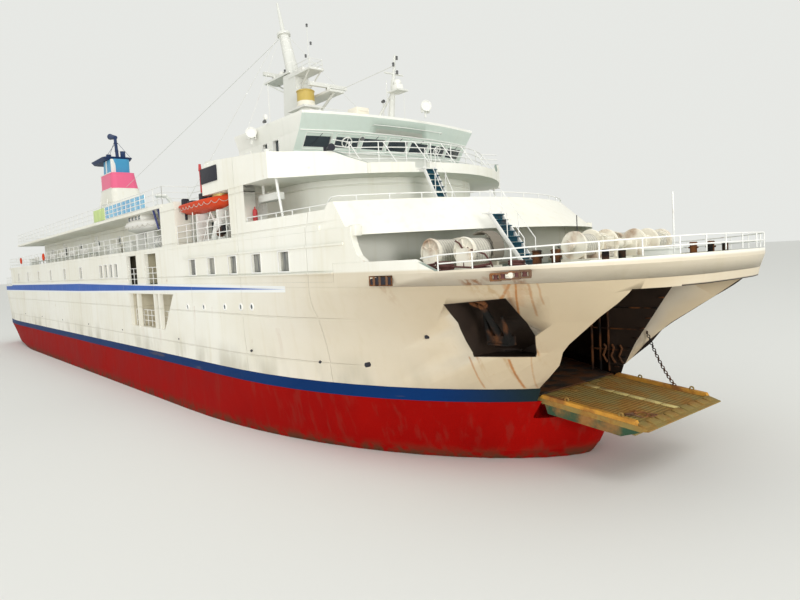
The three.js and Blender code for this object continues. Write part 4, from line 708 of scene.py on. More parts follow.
def makeRails():
    high, spacing, outY = rails["high"], rails["spacing"], rails["outY"]
    edge = [(x, -halfBreadth("deckEdge", x) + 0.09, 7.49 + 0.19 * (x - 37.2) / 6.2)
            for x in rails["foredeckX"]]
    aroundStem = edge + [(43.28, 0, 7.68)] + [(x, -y, z) for x, y, z in reversed(edge)]
    foredeck = railPaths(aroundStem, rails["foredeckHeights"], rails["foredeckSpacing"])
    foredeck += bothSides([[(36.4, -7.2, 7.92), (37.25, edge[0][1], 7.99)]])
    makePipes("foredeck_rails", foredeck, rails["radius"])

    sidePipe = [(24.95, -7.45, 9.98), (28, -7.36, 9.98), (31.25, -7.25, 9.98), (31.45, -7.2, 10.22)]
    front = [(bowedX(31.6, 2.9, 7.3, y), y, 10.24) for y in [-7.1 + 14.2 * i / 20 for i in range(21)]]
    wholePipe = sidePipe + front + [(x, -y, z) for x, y, z in reversed(sidePipe)]
    makePipes("boat_deck_pipe_rail", railPaths(wholePipe, rails["pipeHeights"], rails["pipeSpacing"]),
              rails["radius"])

    frontEdge = [(bowedX(27.7 - 0.12, 3.6, 6.9, y), y, 12.13)
                 for y in [-4.3 + 8.6 * i / 16 for i in range(17)]]
    inner = [(x - 0.9, y, bridgeDeckTop) for x, y, z in frontEdge]
    bars = railPaths(inner, rails["frontHeights"], rails["frontSpacing"])
    stays = [[(x, y, z), (x - 0.9, y, 13.2)] for x, y, z in placesAlong(frontEdge, spacing)]
    wingX, wingY = bowedX(27.6, 3.6, 6.9, -5.3), -5.3
    closing = bothSides([[(*inner[0][:2], bridgeDeckTop + h), (wingX, wingY, bridgeDeckTop + h)]
                         for h in rails["frontHeights"]])
    makePipes("bridge_front_rail", bars + stays + closing, rails["radius"])

    z = boatDeckTop
    boatDeck = railPaths([(16.35, outY, z), (23.25, outY, z)], high, spacing)
    boatDeck += railPaths([(13.95, outY, z), (-38.9, outY, z), (-38.9, 0, z)], high, spacing)
    makePipes("boat_deck_rails", bothSides(boatDeck), rails["radius"], roundness=1)

    z = bridgeDeckTop
    bridgeDeck = railPaths([(14.4, outY, z), (-31.9, outY, z), (-31.9, 0, z)], high, spacing)
    bridgeDeck += railPaths([(14.4, outY, z), (14.4, -5.55, z), (20.35, -5.55, z)], high, spacing)
    makePipes("bridge_deck_rails", bothSides(bridgeDeck), rails["radius"], roundness=1)

    stern = [(x, -halfBreadth("hullTop", x) + 0.1, mainDeckTop)
             for x in rails["sternX"]] + [(-43.3, 0, mainDeckTop)]
    makePipes("stern_rails", bothSides(railPaths(stern, high, spacing)), rails["radius"])

    lobby = railPaths([(7.3, -7.2, lobbyTop), (13.3, -7.2, lobbyTop)], high, spacing / 2)
    lobby += [[(13.3, -7.2, lobbyTop + h), (13.4 + 0.8 * h, -7.2, lobbyTop + h)] for h in high]
    for fromX, toX in rails["openings"]:
        middle = (fromX + toX) / 2
        lobby += [[(fromX, -7.42, mainDeckTop + h), (toX, -7.42, mainDeckTop + h)] for h in high]
        lobby.append([(middle, -7.42, mainDeckTop), (middle, -7.42, mainDeckTop + high[-1])])
    makePipes("side_opening_rails", bothSides(lobby), rails["radius"])
    print("rails made")


makeRails()

# Windows, portholes and doors

wheelhouse = {"front": 25.95, "depth": 0.75, "half": 5.45, "leanFoot": 13.05, "roofEdge": 14.73, "reach": 1.2}
windows = {
    # Columns: first X, pitch, how many, width, sill, head
    "saloon": [(18.4, 2.45, 5, 0.85, 7.69, 8.5), (0.9, 1.25, 4, 0.7, 7.75, 8.65),
               (-5.0, -5.6, 6, 0.7, 7.75, 8.65)],
    "cabin": [(-26, 6, 8, 0.9, 10.2, 10.95)],
    "border": 0.07, "proud": 0.035, "wheelhouseSides": [(23.15, 23.75), (24.2, 24.85)], "wheelhouseCount": 7,
    "wheelhousePitch": 1.48, "wheelhouseWidth": 1.25, "sill": 13.3, "head": 13.97, "surround": (0.1, 0.12),
    "discsIn": (1, 5), "discRadius": 0.25, "ledges": (13.18, 14.07),
}
portholes = {"at": [(17.32, 5.92), (19.52, 5.97), (22.1, 6.03), (23.87, 6.07), (25.0, 6.1)], "radius": 0.15,
             "rim": 0.045}


def makeWindows(rows, side, wall, name, pane):
    border = windows["border"]
    startShape(name + "_frames")
    for firstX, pitch, count, width, sill, head in rows:
        for i in range(count):
            middle = (firstX + i * pitch, -side, (sill + head) / 2)
            addFrame(middle, width + 2 * border, head - sill + 2 * border, border)
    mirrorShape()
    keepShape("railWhite", thickness=windows["proud"], bevel=0.012)
    startShape(name + "_panes")
    for firstX, pitch, count, width, sill, head in rows:
        for i in range(count):
            x = firstX + i * pitch
            outer, inner = -side + wall * 0.4, -side + wall * 0.65
            addBlock((x - width / 2, outer, sill), (x + width / 2, inner, head), 0.015)
    mirrorShape()
    keepShape(pane)


def wheelhouseX(y, z):  # the wheelhouse's front, which leans forward above its foot
    foot, edge = wheelhouse["leanFoot"], wheelhouse["roofEdge"]
    lean = wheelhouse["reach"] * max(0, z - foot) / (edge - foot)
    return bowedX(wheelhouse["front"] + lean, wheelhouse["depth"], wheelhouse["half"], y)


def wheelhouseWindow(i):  # Y of a front window's middle, and how far it turns with the bowed front
    y = (i - windows["wheelhouseCount"] // 2) * windows["wheelhousePitch"]
    return y, math.atan2(2 * wheelhouse["depth"] * y, wheelhouse["half"] ** 2)


def makeWheelhouseWindows():
    gaskets, wipers = [], []
    half, border = windows["wheelhouseWidth"] / 2, 0.03
    sill, head = windows["sill"], windows["head"]
    middle = (sill + head) / 2
    tilt = math.atan2(wheelhouse["reach"], wheelhouse["roofEdge"] - wheelhouse["leanFoot"])
    startShape("wheelhouse_panes")
    for i in range(windows["wheelhouseCount"]):
        y, turn = wheelhouseWindow(i)
        corners = [(wheelhouseX(y + side * (half + 0.01), z) + 0.015, y + side * (half + 0.01), z)
                   for side, z in ((-1, sill), (1, sill), (1, head), (-1, head))]
        gaskets.append(corners + corners[:1])
        x = wheelhouseX(y, middle) - 0.06
        tall = (head - sill) / math.cos(tilt) - 0.02
        low, high = (x - 0.015, y - half, middle - tall / 2), (x + 0.015, y + half, middle + tall / 2)
        addBlock(low, high, 0.005, (0, tilt, turn))
        if i not in windows["discsIn"]:
            wipers.append([(wheelhouseX(y, head) + 0.03, y + 0.15, head),
                           (wheelhouseX(y, sill) + 0.09, y - 0.25, sill + 0.14)])
    keepShape("wheelhousePane")
    startShape("wheelhouse_pane_surrounds")  # strips above and below each pane, with the front's pale grey-green painted shade
    below, above = windows["surround"]
    for i in range(windows["wheelhouseCount"]):
        y, turn = wheelhouseWindow(i)
        for low, high in ((sill - 0.01, sill + below), (head - above, head + 0.01)):
            x, tall = wheelhouseX(y, (low + high) / 2) - 0.045, (high - low) / math.cos(tilt)
            addBlock((x - 0.02, y - half - 0.02, (low + high - tall) / 2),
                     (x + 0.02, y + half + 0.02, (low + high + tall) / 2), 0.005, (0, tilt, turn))
    keepShape("browGrey")
    for fromX, toX in windows["wheelhouseSides"]:
        for side in (-1, 1):
            y = side * (wheelhouse["half"] + 0.01)
            corners = [(fromX + border, y, sill + border), (toX - border, y, sill + border),
                       (toX - border, y, head - border), (fromX + border, y, head - border)]
            gaskets.append(corners + corners[:1])
    makePipes("wheelhouse_window_gaskets", gaskets, 0.022, roundness=1)
    makePipes("wheelhouse_wipers", wipers, 0.012, "boardBlack", roundness=1)

    startShape("clear_view_discs")  # round spinning panes in the second and sixth windows
    for i in windows["discsIn"]:
        y, _ = wheelhouseWindow(i)
        x = wheelhouseX(y, middle)
        axis = (math.cos(tilt), y * 0.05, -math.sin(tilt))
        addRing((x, y, middle), axis, windows["discRadius"], 0.03, 28, 8)
        addBar((x - 0.04, y, middle + 0.03), (x + 0.06, y, middle - 0.04), 0.06, 0.045, 14)
        addBlock((x - 0.015, y - 0.02, middle - 0.3), (x + 0.015, y + 0.02, middle + 0.3), 0.005,
                 (0, tilt, 0))
    keepShape("railWhite")

    across = [-5.4 + 10.8 * i / 16 for i in range(17)]
    ledges = [[(wheelhouseX(y, z) + 0.02, y, z) for y in across] for z in windows["ledges"]]
    makePipes("wheelhouse_ledges", ledges, 0.03, roundness=1)


def makePortholes():
    radius, rim = portholes["radius"], portholes["rim"]
    startShape("porthole_rims")
    for x, z in portholes["at"]:
        addRing((x, -7.55, z), (0, -1, 0), radius, rim, 24, 8)
    mirrorShape()
    keepShape("railWhite")
    startShape("porthole_panes")
    for x, z in portholes["at"]:
        addBar((x, -7.53, z), (x, -7.56, z), radius, radius * 0.9, 24)
    mirrorShape()
    keepShape("cabinPane")


doors = {"half": 0.4, "cabinAt": [22.4, 15.6, 8.2, -8.5, -20.5], "cabinFrom": 9.55, "cabinTo": 11.4,
         "cabinHinges": (9.9, 11.05), "bridgeAt": 21.6, "bridgeHalf": 0.38, "bridgeFrom": 12.0,
         "bridgeTo": 13.85,
         "bridgeHinges": (12.3, 13.5), "hinge": 0.035}


def makeDoors():  # weathertight doors with a round pane, hinges and a lever
    startShape("weather_doors")
    half = doors["half"]
    for x in doors["cabinAt"]:
        addBlock((x - half, -5.26, doors["cabinFrom"]), (x + half, -5.19, doors["cabinTo"]), 0.03)
        addRing((x, -5.26, 10.95), (0, -1, 0), 0.15, 0.03, 20, 6)
        for z in doors["cabinHinges"]:
            addBar((x - half - 0.02, -5.27, z - 0.08), (x - half - 0.02, -5.27, z + 0.08), doors["hinge"])
        addBar((x + 0.3, -5.28, 10.45), (x + 0.12, -5.28, 10.35), 0.02)
    x, half = doors["bridgeAt"], doors["bridgeHalf"]
    addBlock((x - half, -5.51, doors["bridgeFrom"]), (x + half, -5.44, doors["bridgeTo"]), 0.03)
    addBlock((x - 0.2, -5.53, 13.0), (x + 0.2, -5.5, 13.6), 0.02)
    for z in doors["bridgeHinges"]:
        addBar((x - half - 0.02, -5.52, z - 0.08), (x - half - 0.02, -5.52, z + 0.08), doors["hinge"])
    mirrorShape()
    keepShape("fittingWhite")


makeWindows(windows["saloon"], 7.55, 0.25, "saloon_window", "saloonPane")
makeWindows(windows["cabin"], 5.2, 0.2, "cabin_window", "cabinPane")
makeWheelhouseWindows()
makePortholes()
makeDoors()
print("windows and doors made")

# Bridge wings and wheelhouse fittings


bridgeFittings = {
    "boardFrom": (20.42, 12.28), "boardTo": (22.3, 13.02), "boardY": -7.6,
    "searchlightAt": [(22.6, -5.75, 14.6), (28.2, 1.0, 15.45)],
    "smallLampAt": [(27.72, -3.0, 11.45), (25.9, 0.25, 16.15), (26.5, -3.04, 15.03), (29.6, -4.1, 13.22),
                    (22.66, -5.75, 14.6), (24.0, -5.7, 14.92)],
    "lockerFrom": (24.9, -1.35), "lockerTo": (25.7, -0.55), "lockerTop": 15.78, "louvres": 4,
    "ventAt": [(22.4, -3.6), (22.4, 3.6), (24.0, 3.2), (21.8, 1.9)], "compassAt": (23.8, 1.2),
    "repeaterAt": (26.2, -6.9), "consoleAt": (25.0, -6.6),
}


def makeBridgeFittings():
    browRail = [(wheelhouseX(y, 14.4) + 0.16, y, 14.4) for y in [-1.9 + 4.6 * i / 10 for i in range(11)]]
    feet = [[(x, y, z), (x - 0.16, y, z - 0.02)] for x, y, z in placesAlong(browRail, 1.5)]
    makePipes("brow_hand_rail", [browRail] + feet, 0.018, roundness=1)

    startShape("blank_name_board")  # a plain dark board on the wing's side
    (aft, foot), (fore, head) = bridgeFittings["boardFrom"], bridgeFittings["boardTo"]
    y = bridgeFittings["boardY"]
    addBlock((aft, y, foot), (fore, y + 0.05, head), 0.02)
    mirrorShape()
    keepShape("boardBlack")
    edge = [(x, y + 0.01, z) for x, z in ((aft, foot), (fore, foot), (fore, head), (aft, head), (aft, foot))]
    makePipes("name_board_edge", bothSides([edge]), 0.015, "boardBlack", roundness=1)
    startShape("life_ring_light")  # a red and white pole beside the board
    addBar((20.2, -7.5, bridgeDeckTop), (20.2, -7.5, 13.35), 0.05, 0.05, 10)
    addBar((20.2, -7.5, 13.0), (20.2, -7.5, 13.35), 0.09, 0.06, 10)
    keepShape("signalRed")

    startShape("bridge_lamps")  # searchlights and floodlights round the wheelhouse
    for x, y, z in bridgeFittings["searchlightAt"]:
        addBar((x, y, z), (x + 0.28, y - 0.12, z), 0.2, 0.26, 20)
        addRing((x + 0.28, y - 0.12, z), (0.28, -0.12, 0), 0.25, 0.03, 24, 6)
        addBar((x + 0.1, y - 0.04, z - 0.55), (x + 0.1, y - 0.04, z - 0.1), 0.05, 0.05, 10)
        addBlock((x, y - 0.26, z - 0.3), (x + 0.2, y - 0.2, z + 0.05), 0.01)
        addBlock((x, y + 0.14, z - 0.3), (x + 0.2, y + 0.2, z + 0.05), 0.01)
    addBar((23.4, -5.3, 14.6), (23.4, -5.3, 15.3), 0.035, 0.03, 10)
    addBlock((23.3, -5.38, 15.2), (23.5, -5.22, 15.42), 0.03)
    addBar((25.9, 0.25, 14.85), (25.9, 0.25, 16.1), 0.03, 0.03, 8)
    keepShape("fittingWhite")

    startShape("dark_lamps")
    for x, y, z in bridgeFittings["smallLampAt"]:
        addBar((x - 0.08, y, z), (x + 0.08, y - 0.02, z), 0.07, 0.09, 14)
    keepShape("darkLamp")

    startShape("bridge_horn")
    addBar((28.6, -5.3, 12.85), (29.2, -5.45, 12.85), 0.05, 0.16, 16)
    addBar((28.4, -5.25, 12.75), (28.4, -5.25, 13.0), 0.08, 0.08, 12)
    keepShape("boardBlack")

    startShape("roof_locker")  # cream air-conditioning casing on the roof
    (aft, right), (fore, left) = bridgeFittings["lockerFrom"], bridgeFittings["lockerTo"]
    addBlock((aft, right, roofTop + 0.02), (fore, left, bridgeFittings["lockerTop"]), 0.05)
    for i in range(bridgeFittings["louvres"]):
        z = 15.15 + 0.14 * i
        addBlock((fore - 0.02, right + 0.1, z), (fore + 0.03, left - 0.1, z + 0.07), 0.01)
    for x in (25.1, 25.5):
        addBar((x, -1.37, 15.35), (x, -1.33, 15.35), 0.05, 0.05, 10)
    keepShape("reelCream")
    startShape("roof_long_box")  # low box along the roof's fore edge, lid and two clips
    addBlock((25.45, -4.3, roofTop), (25.95, -2.9, 15.2), 0.03)
    addBlock((25.42, -4.34, 15.2), (25.98, -2.86, 15.26), 0.015)
    for y in (-4.0, -3.2):
        addBlock((25.96, y - 0.04, 15.1), (26.0, y + 0.04, 15.22), 0.01)
    keepShape("boatWhite")

    startShape("roof_vents")  # mushroom ventilators and cable trunks on the wheelhouse's roof
    for x, y in bridgeFittings["ventAt"]:
        addBar((x, y, roofTop), (x, y, 15.2), 0.13, 0.13, 14)
        addBall((x, y, 15.22), 0.27, (1, 1, 0.45))
    addBlock((21.0, -0.1, roofTop), (25.7, 0.1, 14.98), 0.02)
    keepShape("fittingWhite")

    startShape("magnetic_compass")
    x, y = bridgeFittings["compassAt"]
    addBar((x, y, roofTop), (x, y, 15.75), 0.17, 0.12, 16)
    addBall((x, y, 15.82), 0.2, (1, 1, 0.8))
    for side in (-1, 1):
        addBall((x, y + side * 0.27, 15.6), 0.1)
    keepShape("fittingWhite")

    startShape("compass_wing_repeaters")
    x, y = bridgeFittings["repeaterAt"]
    addBar((x, y, bridgeDeckTop - 0.02), (x, y, 13.0), 0.09, 0.07, 12)
    addBar((x, y, 12.98), (x, y, 13.15), 0.14, 0.16, 16)
    x, y = bridgeFittings["consoleAt"]
    addBar((x, y, bridgeDeckTop - 0.02), (x, y, 12.9), 0.16, 0.16, 12)
    mirrorShape()
    keepShape("fittingWhite")

    startShape("wing_post")  # the post between the boat deck and the bridge wing
    addBar((27.5, -7.05, 9.98), (27.2, -7.1, 11.72), 0.06, 0.06, 12)
    addBar((27.5, -7.05, 9.98), (27.5, -7.05, 10.05), 0.12, 0.1, 12)
    mirrorShape()
    keepShape("railWhite")
    print("bridge fitted out")


makeBridgeFittings()

# Masts

mastValues = {
    "whipRadius": 0.02, "stayRadius": 0.015, "railRadius": 0.018, "rungs": 22, "rungPitch": 0.32,
    # Columns: X, Y, foot Z, X and Z of the tip
    "whips": [(19.5, 0.0, 19.3, 19.5, 21.9), (16.9, 0.3, 19.67, 16.7, 21.6), (18.3, -0.35, 19.3, 18.3, 20.6),
              (26.9, -0.3, 14.9, 26.9, 16.9), (22.6, -4.6, 14.85, 22.6, 17.2),
              (22.6, 4.6, 14.85, 22.6, 18.0)],
    "lampAt": [(19.5, 0.0, 21.9), (19.5, 0.2, 20.9), (19.5, -0.2, 20.1), (16.6, 0.3, 21.5),
               (17.2, -0.3, 19.8),
               (27.3, 0.12, 17.9), (27.3, -0.12, 17.55), (27.28, 0.12, 17.2), (21.3, -0.9, 15.98),
               (21.9, 0.3, 15.98)],
    "boxes": [((16.4, -0.3, 19.67), (16.85, 0.05, 19.95)), ((18.7, -0.3, 19.32), (19.2, 0.2, 19.62)),
              ((27.2, -0.2, 16.33), (27.6, 0.2, 16.62)), ((21.5, -0.1, 15.87), (22.1, 0.4, 16.1))],
    "hoopHeights": (20.2, 21.0, 21.7), "domeAt": (20.0, -0.7),
}


def makeMastDetails():
    whips = [[(x, y, foot), (tipX, y, tip)] for x, y, foot, tipX, tip in mastValues["whips"]]
    makePipes("whip_aerials", whips, mastValues["whipRadius"], "mastWhite", roundness=1)
    rungs = []
    for i in range(mastValues["rungs"]):
        z = 12.4 + i * mastValues["rungPitch"]
        frontX = 20.2 - (z - bridgeDeckTop) * 0.17 if z < 14.85 else 19.7 - (z - 14.85) * 0.245
        rungs.append([(frontX, -0.2, z), (frontX + 0.1, -0.2, z), (frontX + 0.1, 0.2, z), (frontX, 0.2, z)])
    platformRails = railPaths([(21.4, 0.05, 17.82), (21.4, 0.95, 17.82)], (0.18,), 0.9)
    lower = [(x, y, 15.87) for x, y in ((18.9, -1.15), (22.25, -1.15), (22.25, 0.75), (18.9, 0.75))]
    upper = [(x, y, 19.32) for x, y in ((18.6, -0.45), (20.25, -0.45), (20.25, 0.45), (18.6, 0.45))]
    platformRails += railPaths(lower, (0.3, 0.6), 1.1) + railPaths(upper, (0.25, 0.5), 0.9)
    makePipes("mast_rungs_and_rails", rungs + platformRails, mastValues["railRadius"], "mastWhite",
              roundness=1)
    struts = [[(15.1, s * 0.4, 19.56), (17.2, s * 0.3, 18.5)] for s in (-1, 1)]
    struts += [[(20.1, s * 0.4, 19.22), (18.75, s * 0.3, 18.3)] for s in (-1, 1)]
    makePipes("mast_platform_struts", struts, 0.045, "mastWhite", roundness=1)
    stays = [[(16.8, s * 0.3, 22.2), (12.5, s * 5.4, 11.95)] for s in (-1, 1)]
    stays += [[(16.75, 0, 22.2), (-16.2, 0, 16.75)], [(16.95, -0.3, 22.1), (21.0, -5.2, 14.86)],
              [(16.95, 0.3, 22.1), (21.0, 5.2, 14.86)], [(27.2, 0, 17.6), (21.4, 0.95, 17.95)]]
    makePipes("mast_stays", stays, mastValues["stayRadius"], "mastWhite", roundness=1)

    startShape("mast_lamps")
    for x, y, z in mastValues["lampAt"]:
        addBar((x, y, z - 0.02), (x, y, z + 0.12), 0.06, 0.06, 12)
        addBar((x, y, z + 0.12), (x, y, z + 0.16), 0.075, 0.045, 12)
    keepShape("darkLamp")
    startShape("mast_boxes")
    for low, high in mastValues["boxes"]:
        addBlock(low, high, 0.03)
        x, y, top = low[0] + 0.1, low[1] + 0.1, high[2]
        addBar((x, y, top), (x, y, top + 0.08), 0.05, 0.03, 10)
    addBall((27.4, 0, 16.72), 0.2, (1, 1, 0.8))
    for z in mastValues["hoopHeights"]:
        addRing((17.85 - (z - 19.0) * 0.3125, 0, z), (-0.3, 0, 1), 0.4 - (z - 19) * 0.035, 0.03, 24, 6)
    keepShape("fittingWhite")

    startShape("satellite_drum_bands")  # raised seams and a hatch on the dome
    x, y = mastValues["domeAt"]
    addRing((x, y, 17.06), (0, 0, 1), 0.53, 0.03, 32, 6)
    addRing((x, y, 17.9), (0, 0, 1), 0.51, 0.03, 32, 6)
    addBall((x, y, 17.93), 0.5, (1, 1, 0.22), 24)
    keepShape("drumCream")
    print("masts fitted out")


makeMastDetails()

# Boats, rafts and davits

boats = {
    # Columns: name, stern X, bow X, middle Y, half-width, keel height, gunwale height
    "hulls": {"rescue": (16.6, 22.3, -6.9, 0.8, 10.95, 11.55), "life": (6.2, 10.7, -6.55, 0.95, 10.6, 11.2)},
    "sections": [(0, 0.6, 0.9), (0.12, 0.85, 0.88), (0.4, 1, 0.86), (0.7, 0.9, 0.9), (0.9, 0.5, 0.98),
                 (1, 0.06, 1.05)],
    "fender": 0.065, "grabSag": 0.16, "grabLoop": 0.6, "windowAt": (7.5, 8.15, 8.8, 9.45),
    "raftAt": (11.4, 12.8),
    "davitAt": (6.3, 10.9),
    "davitArm": [(-5.35, boatDeckTop), (-5.35, 11.3), (-5.5, 12.3), (-5.95, 12.8), (-6.5, 12.8)],
    "propAt": ((13.3, 13.95), (12.5, 13.2)), "winchX": 16.75, "winchZ": 10.9,
}


def gunwalePath(name, out=0.0, drop=0.0):
    stern, bow, middle, half, keel, edge = boats["hulls"][name]
    side = [(stern + (bow - stern) * along, middle - half * breadth - out,
             keel + (edge - keel) * share - drop)
            for along, breadth, share in boats["sections"]]
    other = [(x, 2 * middle - y, z) for x, y, z in side]
    return side + list(reversed(other)) + side[:1]


def makeBoats():
    makePipes("rescue_boat_fender", [gunwalePath("rescue", -0.07)], boats["fender"], "rescueOrange")
    for name in ("rescue", "life"):
        edge = gunwalePath(name, -0.02, 0.1)
        loops = []
        for start, end in zip(edge, edge[1:]):
            start, end = Vector(start), Vector(end)
            parts = max(1, round((end - start).length / boats["grabLoop"]))
            for i in range(parts):
                a, b = start.lerp(end, i / parts), start.lerp(end, (i + 1) / parts)
                sags = [boats["grabSag"] * 4 * t / 6 * (1 - t / 6) for t in range(7)]
                loops.append([a.lerp(b, t / 6) - Vector((0, 0, sag)) for t, sag in enumerate(sags)])
        paths = loops if name == "rescue" else bothSides(loops)
        makePipes(name + "_boat_grab_lines", paths, 0.014, "whiteRope", roundness=1)

    startShape("rescue_boat_interior")  # console, seats and an outboard motor
    addBlock((18.9, -7.15, 11.5), (19.4, -6.65, 12.0), 0.06)
    addBlock((17.6, -7.3, 11.5), (18.3, -6.5, 11.72), 0.06)
    addBlock((20.2, -7.25, 11.52), (20.9, -6.55, 11.7), 0.06)
    addBlock((16.3, -7.1, 11.35), (16.62, -6.7, 12.0), 0.08)
    addBar((16.45, -6.9, 10.8), (16.45, -6.9, 11.4), 0.07, 0.09, 12)
    keepShape("boardBlack")
    startShape("rescue_boat_cover")
    addBlock((20.9, -7.3, 11.56), (21.9, -6.5, 11.72), 0.07)
    addBar((19.3, -6.9, 11.6), (19.3, -6.9, 12.1), 0.03, 0.03, 8)
    keepShape("stripeYellow")

    startShape("lifeboat_canopies")  # closed top with windows and a steering hood
    addBlock((6.9, -7.25, 11.2), (9.9, -5.85, 11.85), 0.28)
    addBlock((6.75, -6.95, 11.7), (7.6, -6.15, 12.2), 0.14)
    mirrorShape()
    keepShape("boatWhite", smooth=60)
    startShape("lifeboat_windows")
    for x in boats["windowAt"]:
        addBlock((x - 0.17, -7.27, 11.42), (x + 0.17, -7.2, 11.66), 0.02)
    addBlock((7.55, -6.85, 11.88), (7.62, -6.25, 12.1), 0.02)
    mirrorShape()
    keepShape("cabinPane")

    startShape("raft_straps")
    for x in boats["raftAt"]:
        for offset in (-0.3, 0.3):
            addRing((x + offset, -6.6, 9.824), (1, 0, 0), 0.345, 0.022, 24, 6)
    mirrorShape()
    keepShape("zinc")

    startShape("lifeboat_davits")  # curved arms at both ends of each lifeboat, over the ship's side
    arm = boats["davitArm"]
    for x in boats["davitAt"]:
        for (y0, z0), (y1, z1) in zip(arm, arm[1:]):
            addBar((x, y0, z0), (x, y1, z1), 0.12, 0.11, 10)
            addBall((x, y1, z1), 0.125, segments=12)
        addBar((x, -6.5, 12.75), (x, -6.5, 12.2), 0.03, 0.03, 8)
        addBlock((x - 0.07, -6.62, 11.9), (x + 0.07, -6.38, 12.25), 0.03)
    mirrorShape()
    keepShape("fittingWhite")
    startShape("navy_props")  # dark blue struts that carry the deck edge beside the lifeboat
    for x0, x1 in boats["propAt"]:
        addBar((x0, -7.35, 11.7), (x1, -7.35, 10.5), 0.07, 0.06, 8)
    addBar((13.95, -7.35, 11.7), (13.95, -7.35, 9.42), 0.08, 0.08, 8)
    mirrorShape()
    keepShape("mastNavy")

    startShape("rescue_davit_winch")
    x, z = boats["winchX"], boats["winchZ"]
    addBar((x, -5.7, z), (x, -5.45, z), 0.2, 0.2, 18)
    for y in (-5.7, -5.45):
        addRing((x, y, z), (0, 1, 0), 0.22, 0.03, 20, 6)
    addBlock((16.6, -5.75, 10.65), (16.9, -5.4, 10.75), 0.02)
    addRing((x, -5.95, 11.9), (0, 0, 1), 0.17, 0.03, 20, 6)
    addBlock((19.18, -6.98, 12.1), (19.36, -6.78, 12.32), 0.03)
    keepShape("fittingWhite", body="rescue_davit")
    fall = [(19.22, -6.87, 12.95), (16.8, -5.97, 12.42), (x, -5.6, 11.1)]
    makePipes("rescue_davit_fall", [fall], 0.014, "zinc", body="rescue_davit", roundness=1)
    print("boats fitted out")


makeBoats()

# Boat deck and cabins

boatDeckItems = {
    "benchAt": [-4, -8, -12, -16, -20, -24, -28], "boxAt": [2.5, -2.2, -34], "extinguisherAt": (25.12, -7.12),
    "ventAt": [3.5, -1.0, -10.0, -30.5, -34.5], "ventY": -4.4, "pipeRadius": 0.035,
    "ringAt": ((-19.0, 10.05), (-31.0, 10.05)), "ringY": -7.52,
}


